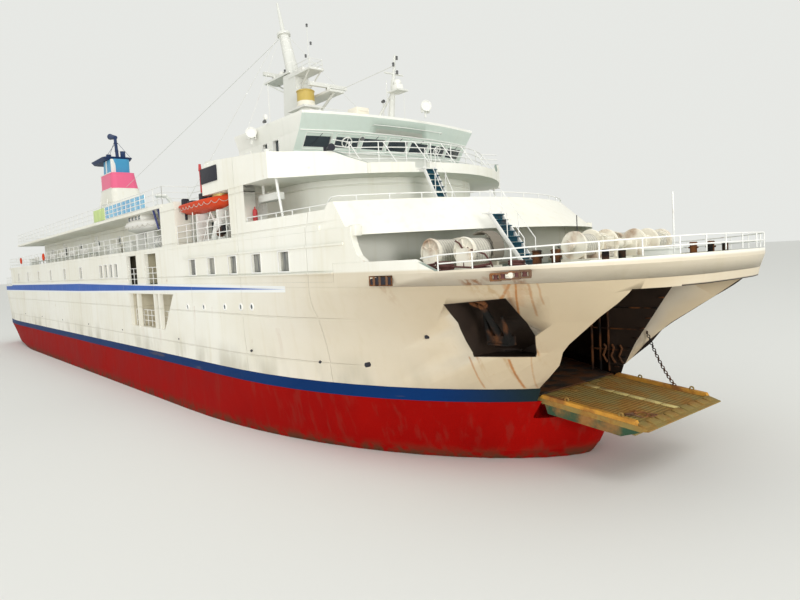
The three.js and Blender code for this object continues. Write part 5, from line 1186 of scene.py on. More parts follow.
def makeBoatDeck():
    startShape("deck_benches")
    for x in boatDeckItems["benchAt"]:
        addBlock((x - 1.1, -6.95, 9.78), (x + 1.1, -6.5, 9.86), 0.025)
        addBlock((x - 1.1, -6.5, 9.95), (x + 1.1, -6.43, 10.35), 0.025)
        for offset in (-0.8, 0.8):
            addBar((x + offset, -6.75, boatDeckTop), (x + offset, -6.75, 9.8), 0.04, 0.04, 8)
            addBar((x + offset, -6.5, 9.8), (x + offset, -6.46, 10.0), 0.025, 0.025, 6)
    mirrorShape()
    keepShape("boatWhite")
    startShape("life_jacket_boxes")
    for x in boatDeckItems["boxAt"]:
        addBlock((x - 0.9, -5.95, 9.45), (x + 0.9, -5.3, 10.25), 0.05)
        addBlock((x - 0.95, -6.0, 10.22), (x + 0.95, -5.28, 10.32), 0.03)
        for offset in (-0.5, 0.5):
            addBlock((x + offset - 0.05, -6.0, 10.1), (x + offset + 0.05, -5.93, 10.22), 0.01)
    mirrorShape()
    keepShape("fittingWhite")
    startShape("deck_ventilators")  # mushroom ventilators
    for x in boatDeckItems["ventAt"]:
        y = boatDeckItems["ventY"]
        addBar((x, y, bridgeDeckTop - 0.02), (x, y, 12.45), 0.16, 0.16, 16)
        addBall((x, y, 12.5), 0.34, (1, 1, 0.5))
        addRing((x, y, 12.44), (0, 0, 1), 0.31, 0.03, 24, 6)
    mirrorShape()
    keepShape("fittingWhite")

    startShape("recess_gear")  # what stands in the side recess: white casing, fender, lockers
    addBlock((24.75, -6.75, 10.9), (26.5, -6.3, 11.25), 0.05)
    for x in (24.95, 26.3):
        addBlock((x - 0.05, -6.58, 11.2), (x + 0.05, -6.48, 11.74), 0.01)
    addBlock((22.2, -5.6, 9.42), (22.9, -5.25, 10.5), 0.05)
    addBlock((17.6, -5.6, 9.42), (18.5, -5.25, 10.35), 0.05)
    addBar((20.6, -7.1, 9.5), (21.1, -7.1, 10.25), 0.2, 0.24, 18)
    addBall((21.12, -7.1, 10.28), 0.25)
    addBall((20.58, -7.1, 9.6), 0.2)
    keepShape("fittingWhite")
    startShape("recess_fender")
    addBar((21.25, -7.1, 9.75), (21.7, -7.1, 9.95), 0.2, 0.2, 18)
    addBall((21.25, -7.1, 9.75), 0.21)
    addBall((21.7, -7.1, 9.95), 0.21)
    addRing((21.45, -7.1, 9.85), (0.45, 0, 0.2), 0.2, 0.03, 20, 6)
    keepShape("rubber")
    z = boatDeckTop
    poles = [[(18.0, -7.2, z), (18.1, -7.2, 11.2)], [(19.4, -7.25, z), (20.3, -7.15, 10.9)],
             [(20.3, -7.15, 10.9), (20.9, -7.2, 10.3)], [(22.2, -7.2, z), (22.2, -7.2, 10.8)]]
    makePipes("recess_pipes", poles, boatDeckItems["pipeRadius"], "fittingWhite")

    startShape("fire_extinguisher")
    x, y = boatDeckItems["extinguisherAt"]
    addBar((x, y, 10.0), (x, y, 10.5), 0.11, 0.11, 16)
    addBall((x, y, 10.5), 0.11, segments=12)
    addBar((x, y, 10.57), (x, y, 10.7), 0.03, 0.03, 8)
    addBar((x, y, 10.66), (x + 0.15, y, 10.4), 0.02, 0.02, 6)
    keepShape("signalRed")
    startShape("extinguisher_foot")
    addBlock((x - 0.14, y - 0.14, 9.42), (x + 0.2, y + 0.14, 9.98), 0.03)
    addRing((x, y, 10.25), (0, 0, 1), 0.12, 0.015, 16, 6)
    keepShape("fittingWhite")

    startShape("life_rings")  # ring buoys on the rails
    for x, z in boatDeckItems["ringAt"]:
        addRing((x, boatDeckItems["ringY"], z), (0, -1, 0), 0.28, 0.07, 24, 10)
    mirrorShape()
    keepShape("rescueOrange")
    print("boat deck fitted out")


windScreen = {"from": 3.0, "to": 11.6, "low": 11.95, "high": 12.8, "columns": 9, "rows": 3, "y": -7.5,
              "bar": 0.03, "panels": 3}


def makeWindScreen():  # pale blue panes in a white lattice along the bridge deck's edge
    columns, rows, y = windScreen["columns"], windScreen["rows"], windScreen["y"]
    acrossAt = [windScreen["from"] + (windScreen["to"] - windScreen["from"]) * i / columns
                for i in range(columns + 1)]
    upAt = [windScreen["low"] + (windScreen["high"] - windScreen["low"]) * i / rows for i in range(rows + 1)]
    lattice = [[(x, y, upAt[0]), (x, y, upAt[-1])] for x in acrossAt]
    lattice += [[(acrossAt[0], y, z), (acrossAt[-1], y, z)] for z in upAt]
    makePipes("wind_screen_lattice", bothSides(lattice), windScreen["bar"], roundness=1)
    startShape("wind_screen_panes")
    for x in acrossAt[:-1]:
        for z in upAt[:-1]:
            addBlock((x + 0.04, y - 0.01, z + 0.03), (x + 0.91, y + 0.02, z + 0.26), 0.008)
    mirrorShape()
    keepShape("screenPane")
    startShape("yellow_green_panels")
    for i in range(windScreen["panels"]):
        addBlock((0.05 + i, -7.53, 11.93), (0.97 + i, -7.48, 12.8), 0.02)
    mirrorShape()
    keepShape("panelGreen")
    print("wind screen made")


makeBoatDeck()
makeWindScreen()

# Funnel

funnel = {
    "louvres": 7, "louvreLow": 13.6, "pitch": 0.26, "ladderRungs": 14, "ladderHalf": 0.2, "rake": 0.2,
    # Rim columns: Z, X of the after and fore ends, half-width
    "rims": [(16.7, -20.15, -15.9, 1.4), (18.35, -20.6, -16.4, 1.2)],
    "exhaustAt": ((-17.8, 0.5, 20.7), (-19.6, -0.4, 20.6)), "exhaustRadius": 0.25,
    "hoopHeights": (20.8, 21.6),
    "capStays": [[(-17.9, 0.1, 21.6), (-17.6, 1.2, 20.1)], [(-17.9, -0.1, 21.6), (-17.6, -1.2, 20.1)],
                 [(-18.2, 0, 22.1), (-21.8, 0, 20.1)]],
}


def makeFunnelDetails():
    startShape("funnel_louvres")
    for i in range(funnel["louvres"]):
        z = funnel["louvreLow"] + i * funnel["pitch"]
        y = -2.1 + (z - bridgeDeckTop) * 0.146
        addBlock((-19.2, y - 0.06, z), (-17.0, y + 0.1, z + 0.1), 0.02, (0.35, 0, 0))
    for x in (-19.3, -16.9):
        addBar((x, -1.95, 13.4), (x, -1.62, 15.6), 0.06, 0.06, 8)
    mirrorShape()
    keepShape("fittingWhite")
    half, ladder = funnel["ladderHalf"], []
    for z in [12.2 + 0.32 * i for i in range(funnel["ladderRungs"])]:
        back = (z - bridgeDeckTop) * funnel["rake"]
        corners = ((-21.6, -half), (-21.75, -half), (-21.75, half), (-21.6, half))
        ladder.append([(x + back, y, z) for x, y in corners])
    sides = [[(-21.75 + (z - bridgeDeckTop) * funnel["rake"], y, z) for z in (11.95, 16.6)]
             for y in (-half, half)]
    makePipes("funnel_ladder", ladder + sides, 0.025, roundness=1)
    startShape("funnel_band_edges")  # welded rims between the colour bands
    for z, aft, fore, half in funnel["rims"]:
        addBlock((aft + 0.3, -half - 0.03, z - 0.04), (fore - 0.3, -half + 0.05, z + 0.04), 0.01)
        addBlock((aft + 0.3, half - 0.05, z - 0.04), (fore - 0.3, half + 0.03, z + 0.04), 0.01)
    addBlock((-17.25, -0.98, 18.4), (-17.0, -0.55, 19.78), 0.03)
    addBlock((-18.9, -1.0, 18.4), (-18.6, -0.92, 19.78), 0.02)
    keepShape("fittingWhite")
    startShape("exhaust_rims")
    for place in funnel["exhaustAt"]:
        addRing(place, (0, 0, 1), funnel["exhaustRadius"], 0.03, 20, 6)
    addRing((-19.85, 0, 22.59), (-1.6, 0, 0.4), 0.28, 0.035, 20, 6)
    for z in funnel["hoopHeights"]:
        addRing((-18.0 - (z - 20) * 0.13, 0, z), (-0.13, 0, 1), 0.18, 0.025, 16, 6)
    keepShape("funnelDark")
    makePipes("funnel_cap_stays", funnel["capStays"], 0.02, "funnelDark", roundness=1)
    print("funnel fitted out")


makeFunnelDetails()

# Foredeck

# Reel columns: X, Y, flange radius, length along Y, rope finish
reels = [(35.2, -4.9, 0.5, 1.3, "whiteRope"), (36.8, -4.9, 0.48, 1.2, "whiteRope"),
         (36.9, 4.3, 0.5, 1.3, "whiteRope"),
         (38.3, 4.3, 0.5, 1.1, "whiteRope"), (37.3, 0.4, 0.42, 1.1, "yellowRope")]
winch = {"x": 39.3, "y": -1.7, "axle": 8.07}
fairlead = {"from": 39.12, "to": 40.2, "low": 7.15, "high": 7.34, "rise": 0.08,
            "rollerAt": (39.25, 39.45, 39.85, 40.05),
            "sideRollerAt": (34.3, 34.62, 35.0)}
foredeckGear = {
    # Hose coils: X, Y, radius, turns. Rope heaps: X, Y, turns
    "coils": ((35.5, -6.1, 0.3, 3), (36.5, -6.2, 0.26, 4), (37.6, -5.6, 0.28, 2), (38.6, -5.0, 0.24, 3)),
    "heaps": ((36.3, 2.2, 6), (35.6, 3.1, 5), (36.5, 3.2, 4), (35.8, 2.3, 3)),
    "hoseRuns": [[(35.0, -6.3, 7.52), (35.6, -6.5, 7.6), (36.2, -6.35, 7.55), (37.0, -6.2, 7.58),
                  (37.7, -5.9, 7.52)],
                 [(36.45, -5.6, 8.45), (36.62, -5.6, 8.36), (36.75, -5.6, 8.2), (36.83, -5.6, 7.9),
                  (36.85, -5.65, 7.52)],
                 [(36.9, -5.55, 8.2), (37.3, -5.55, 8.06), (37.72, -5.55, 7.95), (37.9, -5.5, 7.7),
                  (37.95, -5.45, 7.52)]],
    "coilPitch": 0.075, "heapPitch": 0.065, "capAt": (39.55, 40.25),
    "bollardAt": ((35.0, -6.6), (41.2, -3.6)),
    "hatchAt": ((34.3, 1.4), (40.9, 0.0)), "ventAt": ((34.4, 3.4), (34.4, 5.4)), "guardPlates": 8,
    "guardRadius": 0.6,
}


def makeReelDetails():
    for number, (x, y, radius, length, ropeName) in enumerate(reels):
        axle = foredeckTop + radius + 0.15
        startShape("reel_rope_" + str(number + 1))  # one turn of rope, repeated along the drum
        turn = radius * 0.78 + 0.03
        addRing((x, y - length / 2 + 0.1, axle), (0, 1, 0), turn, 0.038, 26, 6)
        bpy.ops.mesh.select_all(action="SELECT")
        repeatShape((0, 0.07, 0), int((length - 0.2) / 0.07))
        keepShape(ropeName, smooth=60)
        startShape("reel_spokes_" + str(number + 1))
        for side in (-1, 1):
            faceY = y + side * (length / 2 + 0.06)
            addRing((x, faceY, axle), (0, 1, 0), radius - 0.02, 0.035, 28, 8)
            addRing((x, faceY, axle), (0, 1, 0), 0.17, 0.03, 18, 6)
            for i in range(8):
                angle = i * math.pi / 4 + 0.2
                reach = radius - 0.04
                addBar((x + 0.16 * math.cos(angle), faceY, axle + 0.16 * math.sin(angle)),
                       (x + reach * math.cos(angle), faceY, axle + reach * math.sin(angle)), 0.03, 0.022, 6)
        keepShape("reelCream")


def makeForedeckGear():
    startShape("reel_guard")  # dark curved cover over the second reel's fore side
    reach = foredeckGear["guardRadius"]
    for i in range(foredeckGear["guardPlates"]):
        angle = math.radians(-30 + i * 20)
        x, z = 36.8 + reach * math.cos(angle), 8.12 + reach * math.sin(angle)
        addBlock((x - 0.13, -4.75, z - 0.025), (x + 0.13, -4.2, z + 0.025), 0.01,
                 (0, -angle - math.pi / 2, 0))
    keepShape("guardGrey")

    startShape("deck_hoses")  # hoses and straps stowed along the bulwark, in loose coils and runs
    for x, y, radius, turns in foredeckGear["coils"]:
        for i in range(turns):
            z = foredeckTop + 0.05 + foredeckGear["coilPitch"] * i
            addRing((x + chance.uniform(-0.05, 0.05), y + chance.uniform(-0.05, 0.05), z),
                    (chance.uniform(-0.12, 0.12), chance.uniform(-0.12, 0.12), 1), radius, 0.045, 22, 6)
    keepShape("hoseRed", smooth=60)
    makePipes("deck_hose_runs", foredeckGear["hoseRuns"], 0.03, "hoseRed")

    startShape("winch_rope")
    addRing((winch["x"], winch["y"] - 1.03, winch["axle"]), (0, 1, 0), 0.34, 0.04, 24, 6)
    bpy.ops.mesh.select_all(action="SELECT")
    repeatShape((0, 0.075, 0), 10)
    mirrorShape()
    keepShape("whiteRope", smooth=60)
    startShape("winch_details")  # warping head, brake bands and motor fins
    x, y, axle = winch["x"], winch["y"], winch["axle"]
    addBar((x, y - 1.62, axle), (x, y - 1.38, axle), 0.2, 0.14, 18)
    addBar((x, y + 1.38, axle), (x, y + 1.62, axle), 0.14, 0.2, 18)
    for offset in (-0.2, 0.75):
        addRing((x, y + offset, axle), (0, 1, 0), 0.49, 0.04, 28, 6)
    addBar((x + 0.3, y - 0.3, axle - 0.3), (x + 0.62, y - 0.3, axle + 0.3), 0.03, 0.03, 8)
    addRing((x + 0.62, y - 0.3, axle + 0.3), (0.3, 0, 0.6), 0.13, 0.02, 16, 6)
    for i in range(6):
        finY = y + 0.25 + i * 0.065
        addBlock((x - 0.42, finY, axle - 0.1), (x + 0.42, finY + 0.025, axle + 0.2), 0.008)
    mirrorShape()
    keepShape("reelCream")

    startShape("bollard_caps")
    for x in foredeckGear["capAt"]:
        addBar((x, -5.2, 7.93), (x, -5.2, 7.98), 0.17, 0.13, 16)
        addBar((x - 0.2, -5.2, 7.75), (x + 0.2, -5.2, 7.75), 0.035, 0.035, 8)
    for x, y in foredeckGear["bollardAt"]:
        addBlock((x - 0.5, y - 0.2, 7.44), (x + 0.5, y + 0.2, 7.5), 0.02)
        for offset in (-0.28, 0.28):
            addBar((x + offset, y, 7.48), (x + offset, y, 7.86), 0.11, 0.11, 14)
            addBar((x + offset, y, 7.86), (x + offset, y, 7.9), 0.13, 0.1, 14)
    mirrorShape()
    keepShape("anchorBlack")

    startShape("roller_fairleads")  # rusty bed and top bar with rollers between, let into the plating's edge
    low, high, rise = fairlead["low"], fairlead["high"], fairlead["rise"]
    steps = [fairlead["from"] + (fairlead["to"] - fairlead["from"]) * i / 4 for i in range(5)]
    edge = [(x, -halfBreadth("deckEdge", x) - 0.02, rise * i / 4) for i, x in enumerate(steps)]
    for (x0, y0, up), (x1, y1, _) in zip(edge, edge[1:]):
        turn = math.atan2(y1 - y0, x1 - x0)
        long = math.hypot(x1 - x0, y1 - y0) / 2 + 0.02
        x, y = (x0 + x1) / 2, (y0 + y1) / 2
        for z in (low + up, high + up):
            addBlock((x - long, y - 0.07, z - 0.028), (x + long, y + 0.07, z + 0.028), 0.01, (0, 0, turn))
    for x, y, up in edge:
        addBar((x, y - 0.01, low + up), (x, y - 0.01, high + up), 0.05, 0.05, 14)
    mirrorShape()
    keepShape("fairleadRust")
    startShape("roller_fairlead_rollers")  # dark waisted rollers in both openings
    for x in fairlead["rollerAt"]:
        y, up = -halfBreadth("deckEdge", x) - 0.01, rise * (x - fairlead["from"])
        addBar((x, y, low + up + 0.02), (x, y, low + up + 0.09), 0.085, 0.06, 14)
        addBar((x, y, low + up + 0.09), (x, y, high + up - 0.02), 0.06, 0.085, 14)
    mirrorShape()
    keepShape("hoseRed")
    startShape("roller_fairlead_posts")  # the pale middle post between the openings
    x, y = 39.65, -halfBreadth("deckEdge", 39.65)
    addBlock((x - 0.12, y - 0.09, low + 0.05), (x + 0.12, y + 0.02, high + 0.03), 0.02)
    addBar((x - 0.06, y - 0.1, low + 0.13), (x + 0.06, y - 0.1, low + 0.13), 0.03, 0.03, 8)
    mirrorShape()
    keepShape("reelCream")

    startShape("side_fairleads")  # rectangular lead in the hull's side
    addFrame((34.65, -7.5, 7.22), 1.26, 0.36, 0.05)
    mirrorShape()
    keepShape("dullRust", thickness=0.05, bevel=0.015)
    # A dark plate across the lead's opening: painted shade in its throat.
    startShape("side_fairlead_throat_shades")
    addBlock((34.07, -7.53, 7.08), (35.23, -7.48, 7.36), 0.01)
    mirrorShape()
    keepShape("boardBlack")
    startShape("side_fairlead_rollers")
    for x in fairlead["sideRollerAt"]:
        addBar((x, -7.52, 7.06), (x, -7.52, 7.38), 0.055, 0.055, 12)
        addBar((x, -7.52, 7.2), (x, -7.52, 7.24), 0.07, 0.07, 12)
    mirrorShape()
    keepShape("fairleadRust")

    startShape("foredeck_hatches")
    for x, y in foredeckGear["hatchAt"]:
        addBlock((x - 0.45, y - 0.45, 7.44), (x + 0.45, y + 0.45, 7.78), 0.03)
        addBlock((x - 0.5, y - 0.5, 7.76), (x + 0.5, y + 0.5, 7.84), 0.03)
        for offset in (-0.25, 0.25):
            addBar((x - 0.52, y + offset - 0.06, 7.8), (x - 0.52, y + offset + 0.06, 7.8), 0.04, 0.04, 8)
    for x, y in foredeckGear["ventAt"]:
        addBar((x, y, 7.44), (x, y, 8.05), 0.11, 0.11, 14)
        addBall((x, y, 8.1), 0.24, (1, 1, 0.5))
    keepShape("fittingWhite")
    startShape("rope_heaps")  # mooring rope left in coils on the deck
    for x, y, turns in foredeckGear["heaps"]:
        for i in range(turns):
            z = foredeckTop + 0.04 + foredeckGear["heapPitch"] * i
            addRing((x + chance.uniform(-0.05, 0.05), y + chance.uniform(-0.05, 0.05), z),
                    (chance.uniform(-0.05, 0.05), 0.0, 1), 0.42 - 0.03 * (i % 3), 0.042, 28, 6)
    keepShape("yellowRope", smooth=60)

    makePipes("jack_staff", [[(41.9, -1.2, foredeckTop - 0.01), (41.9, -1.2, 9.6)]], 0.03)
    whip = [(38.0, -0.73, foredeckTop), (38.0, -0.73, 9.2)]
    makePipes("foredeck_whip", [whip], 0.018, "boardBlack", roundness=1)
    print("foredeck fitted out")


ladders = {
    # Columns: top X and Z, foot X and Z, middle Y, node it stands for
    "rows": [(31.4, 11.8, 32.6, 9.43, -1.9, "ladder_upper"), (36.3, 9.4, 37.8, 7.48, -3.35, "ladder_lower")],
    "half": 0.31, "railHeight": 0.85, "treads": 9, "plate": 0.15, "riser": 0.13, "hookReach": 0.45,
}


def makeLadders():  # white side plates, dark treads with kick plates under them, and hand rails
    paths = []
    half, treads = ladders["half"], ladders["treads"]
    for topX, topZ, footX, footZ, middle, nodeName in ladders["rows"]:
        top, foot = Vector((topX, middle, topZ)), Vector((footX, middle, footZ))
        slope = math.atan2(topZ - footZ, footX - topX)
        long = (foot - top).length
        startShape(nodeName + "_side_plates")
        for side in (-1, 1):
            place = (top + foot) / 2 + Vector((0, side * half, 0.02))
            spread = Vector((long / 2 + 0.04, 0.025, ladders["plate"] / 2))
            addBlock(place - spread, place + spread, 0.01, (0, slope, 0))
            for end in (top, foot):
                low = Vector((-0.1, side * half - 0.05, -0.02))
                high = Vector((0.14, side * half + 0.05, 0.03))
                addBlock(end + low, end + high, 0.01)
        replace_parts(keepShape("railWhite"), nodeName)
        startShape(nodeName + "_treads")
        for i in range(treads):
            place = top.lerp(foot, (i + 0.4) / treads)
            x, z, right, left = place.x, place.z, middle - half + 0.03, middle + half - 0.03
            addBlock((x - 0.12, right, z + 0.02), (x + 0.17, left, z + 0.06), 0.01)
            addBlock((x + 0.02, right, z - ladders["riser"]), (x + 0.05, left, z + 0.03), 0.008)
        keepShape("treadTeal")
        for side in (-1, 1):
            up = Vector((0, 0, ladders["railHeight"]))
            start, end = top + Vector((0.1, side * half, 0)), foot + Vector((0.05, side * half, 0.1))
            paths.append([start, start + up, end + up, end + up * 0.2])
            place = start.lerp(end, 0.5)
            paths.append([place, place + up])
            paths.append([start, start + Vector((-ladders["hookReach"], 0, 0.02))])
    makePipes("ladder_hand_rails", paths, 0.018, roundness=1)


makeReelDetails()
makeForedeckGear()
makeLadders()

# Bow door and its ramp

ramp = {
    "hinge": (37.3, 2.52), "pitch": math.radians(6), "length": 4.05, "top": 0.08, "ribs": 25, "ribHalf": 2.38,
    "lineParts": 6, "toeParts": 9, "straps": 7, "eyeAt": (1.2, 3.3), "clutter": 9,
    "webAt": (36.15, 36.55, 36.95),
    "stringerAt": (3.6, 4.5, 5.4, 6.3), "seatParts": 9, "flare": 0.69, "hooks": 3,
    "chainFrom": (38.68, 2.86, 4.42), "chainTo": (2.62, 2.52, 0.24), "links": 20, "sag": 0.2,
}


def onRamp(x, y, z):  # a place measured from the ramp's hinge, along the ramp
    (hingeX, hingeZ), turn = ramp["hinge"], ramp["pitch"]
    along, up = x * math.cos(turn) + z * math.sin(turn), z * math.cos(turn) - x * math.sin(turn)
    return (hingeX + along, y, hingeZ + up)


def addPlateOnRamp(place, size, bevel, tilt=0.0):  # a flat plate, its middle given along the ramp
    middle, spread = Vector(onRamp(*place)), Vector(size)
    addBlock(middle - spread, middle + spread, bevel, (0, ramp["pitch"] + tilt, 0))


def makeRamp():
    pitch, half = (ramp["length"] - 0.2) / ramp["ribs"], ramp["ribHalf"]
    ribs = [[onRamp(0.15 + i * pitch, y, ramp["top"] + 0.005) for y in (-half, half)]
            for i in range(ramp["ribs"])]
    makePipes("bow_ramp_grip_bars", ribs, 0.022, "rampSteel", body="bow_ramp", roundness=1)
    startShape("bow_ramp_line")  # worn yellow line along the middle, broken into plates
    for i in range(ramp["lineParts"]):
        addPlateOnRamp((0.45 + i * 0.63, 0.25, ramp["top"] + 0.02), (0.29, 0.12, 0.012), 0.004)
    keepShape("stripeYellow", body="bow_ramp")
    startShape("bow_ramp_toe_plates")
    for i in range(ramp["toeParts"]):
        y = -2.3 + i * 0.575
        addPlateOnRamp((ramp["length"], y, 0.09), (0.16, 0.24, 0.015), 0.006, 0.2)
        hinge = Vector(onRamp(3.9, y, 0.1))
        addBar(hinge - Vector((0, 0.1, 0)), hinge + Vector((0, 0.1, 0)), 0.04, 0.04, 10)
    keepShape("rampSteel", body="bow_ramp")
    startShape("bow_ramp_lugs")  # eyes for hoisting, and hinge straps
    for side in (-1, 1):
        for x in ramp["eyeAt"]:
            addRing(onRamp(x, side * 2.5, 0.26), (0, 1, 0), 0.07, 0.03, 16, 8)
    for i in range(ramp["straps"]):
        addPlateOnRamp((0.2, -2.2 + i * 0.733, 0.09), (0.2, 0.08, 0.02), 0.01)
    keepShape("rampSteel", body="bow_ramp")
    startShape("bow_ramp_clutter")  # wires and shackles lying near the toe
    for _ in range(ramp["clutter"]):
        place = onRamp(3.1 + chance.uniform(0, 0.8), -2.1 + chance.uniform(0, 0.9), 0.12)
        axis = (chance.uniform(-0.3, 0.3), chance.uniform(-0.3, 0.3), 1)
        addRing(place, axis, chance.uniform(0.08, 0.2), 0.022, 14, 6)
    keepShape("fairleadRust", body="bow_ramp")

    # Upright webs and stringers on the inner walls, with the door's rubber seat
    startShape("bow_mouth_frames")
    for x in ramp["webAt"]:
        addBlock((x, 2.72, 2.7), (x + 0.06, 2.82, 6.6), 0.01)
    for z in ramp["stringerAt"]:
        addBlock((36.05, 2.74, z), (37.1 + ramp["flare"] * (z - 2.5), 2.81, z + 0.06), 0.01)
    for i in range(ramp["seatParts"]):
        z = 2.9 + i * 0.42
        x = 37.1 + ramp["flare"] * (z - 2.25)
        addBlock((x - 0.3, 2.72, z), (x - 0.1, 2.81, z + 0.05), 0.01)
    mirrorShape()
    keepShape("anchorBlack")
    curls = []
    for i in range(ramp["hooks"]):
        x = 36.78 + i * 0.37
        curls.append([(x, 2.74, 3.84), (x + 0.1, 2.72, 3.72), (x + 0.02, 2.72, 3.5), (x - 0.04, 2.72, 3.38),
                      (x + 0.06, 2.72, 3.2), (x + 0.14, 2.74, 3.08)])
    makePipes("hanging_hooks", bothSides(curls), 0.05, "dullRust")

    startShape("ramp_chain")  # slack chain from the bow's inner edge to the ramp's kerb
    start, end, links = Vector(ramp["chainFrom"]), Vector(onRamp(*ramp["chainTo"])), ramp["links"]
    for i in range(links):
        share = i / (links - 1)
        place = start.lerp(end, share) - Vector((0, 0, ramp["sag"] * 4 * share * (1 - share)))
        axis = (0, 1, 0.2) if i % 2 else (1, 0.2, 0)
        addRing(place, axis, 0.062, 0.02, 12, 5)
    chain = keepShape("anchorBlack", body=None)
    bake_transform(chain)
    print("bow ramp fitted out")


makeRamp()


def makeAnchors():
    startShape("hawse_lips")  # rounded lip where the chain leaves the pocket's wall, with swivel and shackle
    addRing((37.5, -5.75, 6.35), (0, -0.6, -1), 0.26, 0.08, 24, 10)
    addRing((37.5, -5.55, 6.28), (1, 0, 0), 0.14, 0.045, 18, 8)
    addBlock((37.05, -4.9, 4.82), (37.95, -4.4, 4.9), 0.03)
    mirrorShape()
    keepShape("anchorBlack")


makeAnchors()

# Hull side, stern and underwater

hullFittings = {
    "lobbyDoorAt": (7.7, 11.4), "scupperAt": (30.5, 24.6, 15.6, 5.0, -4.0, -13.0, -22.0, -31.0),
    "draughtBars": 10,
    "sternAnodeAt": (-30.5, -27.5, -24.5), "bilgeAnodeAt": (-10, -4, 2, 8),
    "sternLugAt": (-2.3, -0.8, 0.8, 2.3),
    "rampWebAt": (-1.8, 1.8), "sternBollardAt": ((-40.5, -5.6), (-42.0, -3.0)), "capstanAt": (-40.0, -2.0),
    "backDoorAt": (-3.0, 3.0),
}


def makeLobby():  # cream walls with a door behind each upper side opening
    startShape("lobby_walls")
    addBlock((3.4, -6.4, 7.22), (13.6, -6.32, 9.18), 0.01)
    addBlock((10.3, -6.42, 7.25), (10.38, -7.28, 9.18), 0.01)
    for x in hullFittings["lobbyDoorAt"]:
        addBlock((x - 0.42, -6.46, 7.3), (x + 0.42, -6.4, 9.0), 0.02)
        addBar((x + 0.3, -6.5, 8.1), (x + 0.3, -6.44, 8.1), 0.03, 0.03, 8)
    mirrorShape()
    keepShape("lobbyCream")


makeLobby()


def makeHullFittings():
    startShape("scuppers")  # short drain spouts and the small outlet above the band
    for x in hullFittings["scupperAt"]:
        addBar((x, -7.5, 4.05), (x, -7.57, 3.99), 0.055, 0.05, 12)
    addBar((33.6, -7.42, 4.2), (33.6, -7.58, 4.2), 0.09, 0.09, 14)
    addBar((35.03, -5.7, 5.09), (35.03, -5.9, 5.09), 0.07, 0.07, 14)
    mirrorShape()
    keepShape("boardBlack")
    startShape("overhang_corner_brackets")  # where the overhang meets the side plating
    addBlock((32.95, -7.52, 8.86), (33.34, -7.2, 9.26), 0.04)
    mirrorShape()
    keepShape("shipWhite")
    startShape("draught_bars")  # short raised weld bars that mark the depth
    for i in range(hullFittings["draughtBars"]):
        addBlock((-0.2, -7.565, 0.4 + 0.2 * i), (0.2, -7.545, 0.44 + 0.2 * i), 0.005)
    mirrorShape()
    keepShape("redBottom")

    startShape("bilge_keels")
    addBlock((-14.0, -6.62, -2.95), (9.0, -6.56, -2.55), 0.02, (0.8, 0, 0))
    mirrorShape()
    keepShape("redBottom")
    startShape("zinc_anodes")
    for x in hullFittings["sternAnodeAt"]:
        addBlock((x - 0.35, -5.0, -0.62), (x + 0.35, -4.86, -0.5), 0.03)
    for x in hullFittings["bilgeAnodeAt"]:
        addBlock((x - 0.35, -7.3, -1.85), (x + 0.35, -7.2, -1.72), 0.03)
    mirrorShape()
    keepShape("zinc")

    startShape("stern_frame")  # lugs, side guides and lamps round the stern ramp
    for y in hullFittings["sternLugAt"]:
        addBlock((-43.4, y - 0.08, 2.58), (-43.28, y + 0.08, 2.9), 0.03)
    for side in (-1, 1):
        addBlock((-43.4, side * 2.9 - 0.07, 2.75), (-43.3, side * 2.9 + 0.07, 6.85), 0.03)
        addBlock((-43.38, side * 4.6 - 0.35, 6.2), (-43.3, side * 4.6 + 0.35, 6.6), 0.03)
        addRing((-43.34, side * 5.6, 4.9), (-1, 0, 0), 0.3, 0.06, 24, 8)
    addBlock((-43.4, -2.95, 6.85), (-43.3, 2.95, 7.0), 0.03)
    keepShape("fittingWhite")
    startShape("stern_ramp_ribs")  # horizontal grip bars on the outer face
    addBlock((-43.395, -2.5, 3.0), (-43.34, 2.5, 3.06), 0.01)
    bpy.ops.mesh.select_all(action="SELECT")
    repeatShape((0, 0, 0.3), 12)
    for y in hullFittings["rampWebAt"]:
        addBlock((-43.4, y - 0.08, 2.9), (-43.33, y + 0.08, 6.7), 0.02)
    keepShape("rampSteel", body="stern_ramp")
    startShape("stern_gear")  # bollards and capstans on the after mooring deck
    for x, y in hullFittings["sternBollardAt"]:
        addBlock((x - 0.6, y - 0.25, 7.19), (x + 0.6, y + 0.25, 7.27), 0.02)
        for offset in (-0.35, 0.35):
            addBar((x + offset, y, 7.25), (x + offset, y, 7.75), 0.15, 0.15, 16)
            addBar((x + offset, y, 7.75), (x + offset, y, 7.8), 0.18, 0.14, 16)
    x, y = hullFittings["capstanAt"]
    addBar((x, y, mainDeckTop - 0.01), (x, y, 7.9), 0.3, 0.2, 20)
    addBar((x, y, 7.9), (x, y, 8.05), 0.3, 0.28, 20)
    mirrorShape()
    keepShape("anchorBlack")
    startShape("saloon_back_doors")
    for y in hullFittings["backDoorAt"]:
        addBlock((-38.07, y - 0.45, 7.3), (-37.99, y + 0.45, 9.1), 0.03)
        addRing((-38.08, y, 8.7), (-1, 0, 0), 0.15, 0.03, 20, 6)
        addBar((-38.12, y + 0.3, 8.2), (-38.12, y + 0.12, 8.1), 0.02, 0.02, 8)
    keepShape("fittingWhite")
    print("hull fittings made")


makeHullFittings()


# Camera, floor and light

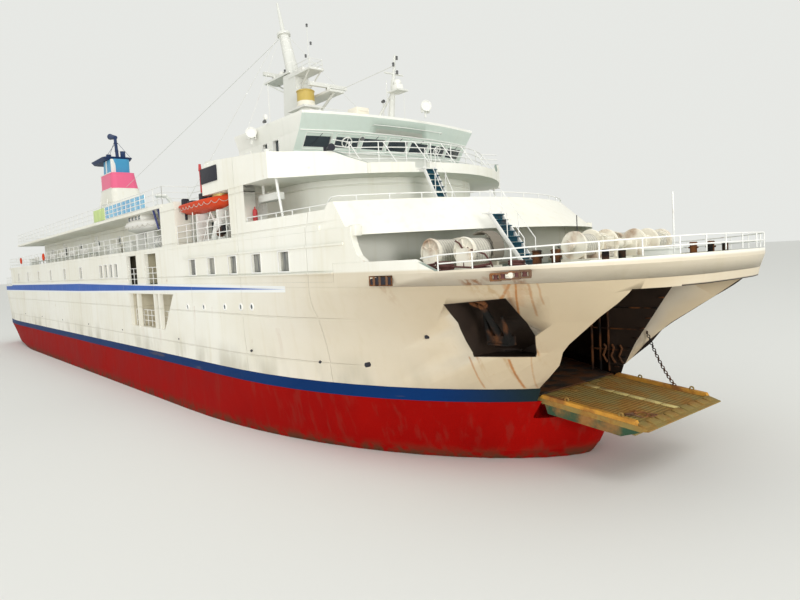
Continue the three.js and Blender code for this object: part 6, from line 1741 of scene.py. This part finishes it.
cameraValues = {"place": (51.7, -21.0, 7.95), "heading": 40.0, "down": 3.75, "roll": 3.15, "focalPixels": 630,
                "imageWidth": 800}


def addCamera():
    bpy.ops.object.camera_add(location=modelPlace(cameraValues["place"]))
    camera = bpy.context.object
    heading, down, roll = (math.radians(cameraValues[name]) for name in ("heading", "down", "roll"))
    across, along, flat = math.sin(heading), math.cos(heading), math.cos(down)
    forward = Vector((-along * flat, across * flat, -math.sin(down)))
    level = Vector((across, along, 0))
    upright = level.cross(forward)
    right = level * math.cos(roll) - upright * math.sin(roll)
    up = upright * math.cos(roll) + level * math.sin(roll)
    camera.rotation_euler = Matrix((right, up, -forward)).transposed().to_euler()
    camera.data.sensor_width = 36
    camera.data.lens = camera.data.sensor_width * cameraValues["focalPixels"] / cameraValues["imageWidth"]
    camera.data.clip_end = 500
    bpy.context.scene.camera = camera


def addFloor():
    bpy.ops.mesh.primitive_plane_add(size=300)
    floor = bpy.context.object
    floor.name = "floor"
    paper = Finish("paleFloor")
    paper.wear(Base_Color=(0.78, 0.78, 0.76), Roughness=0.9)
    floor.data.materials.append(paper.material)


# Lamp columns: place, what it faces, width, power.
lampRows = [((120, -30, 120), (20, 0, 8), 60, 36000), ((60, -150, 70), (5, 0, 6), 90, 36000),
            ((138, -47, 15), (20, 0, 8), 26, 50000)]
sky = {"colour": (0.80, 0.81, 0.78), "strength": 1.0}


def addLight():
    for place, target, width, power in lampRows:
        bpy.ops.object.light_add(type="AREA", location=modelPlace(place))
        lamp = bpy.context.object
        lamp.rotation_euler = (Vector(target) - Vector(place)).to_track_quat("-Z", "Y").to_euler()
        lamp.data.size = width * shipMetre
        lamp.data.energy = power * shipMetre ** 2
        lamp.visible_camera = False
    world = bpy.data.worlds.new("softSky")
    world.use_nodes = True
    world.node_tree.nodes["Background"].inputs["Color"].default_value = (*sky["colour"], 1)
    world.node_tree.nodes["Background"].inputs["Strength"].default_value = sky["strength"]
    bpy.context.scene.world = world
    bpy.context.scene.view_settings.view_transform = "Standard"


addCamera()
addFloor()
addLight()
print("camera, floor and light made")
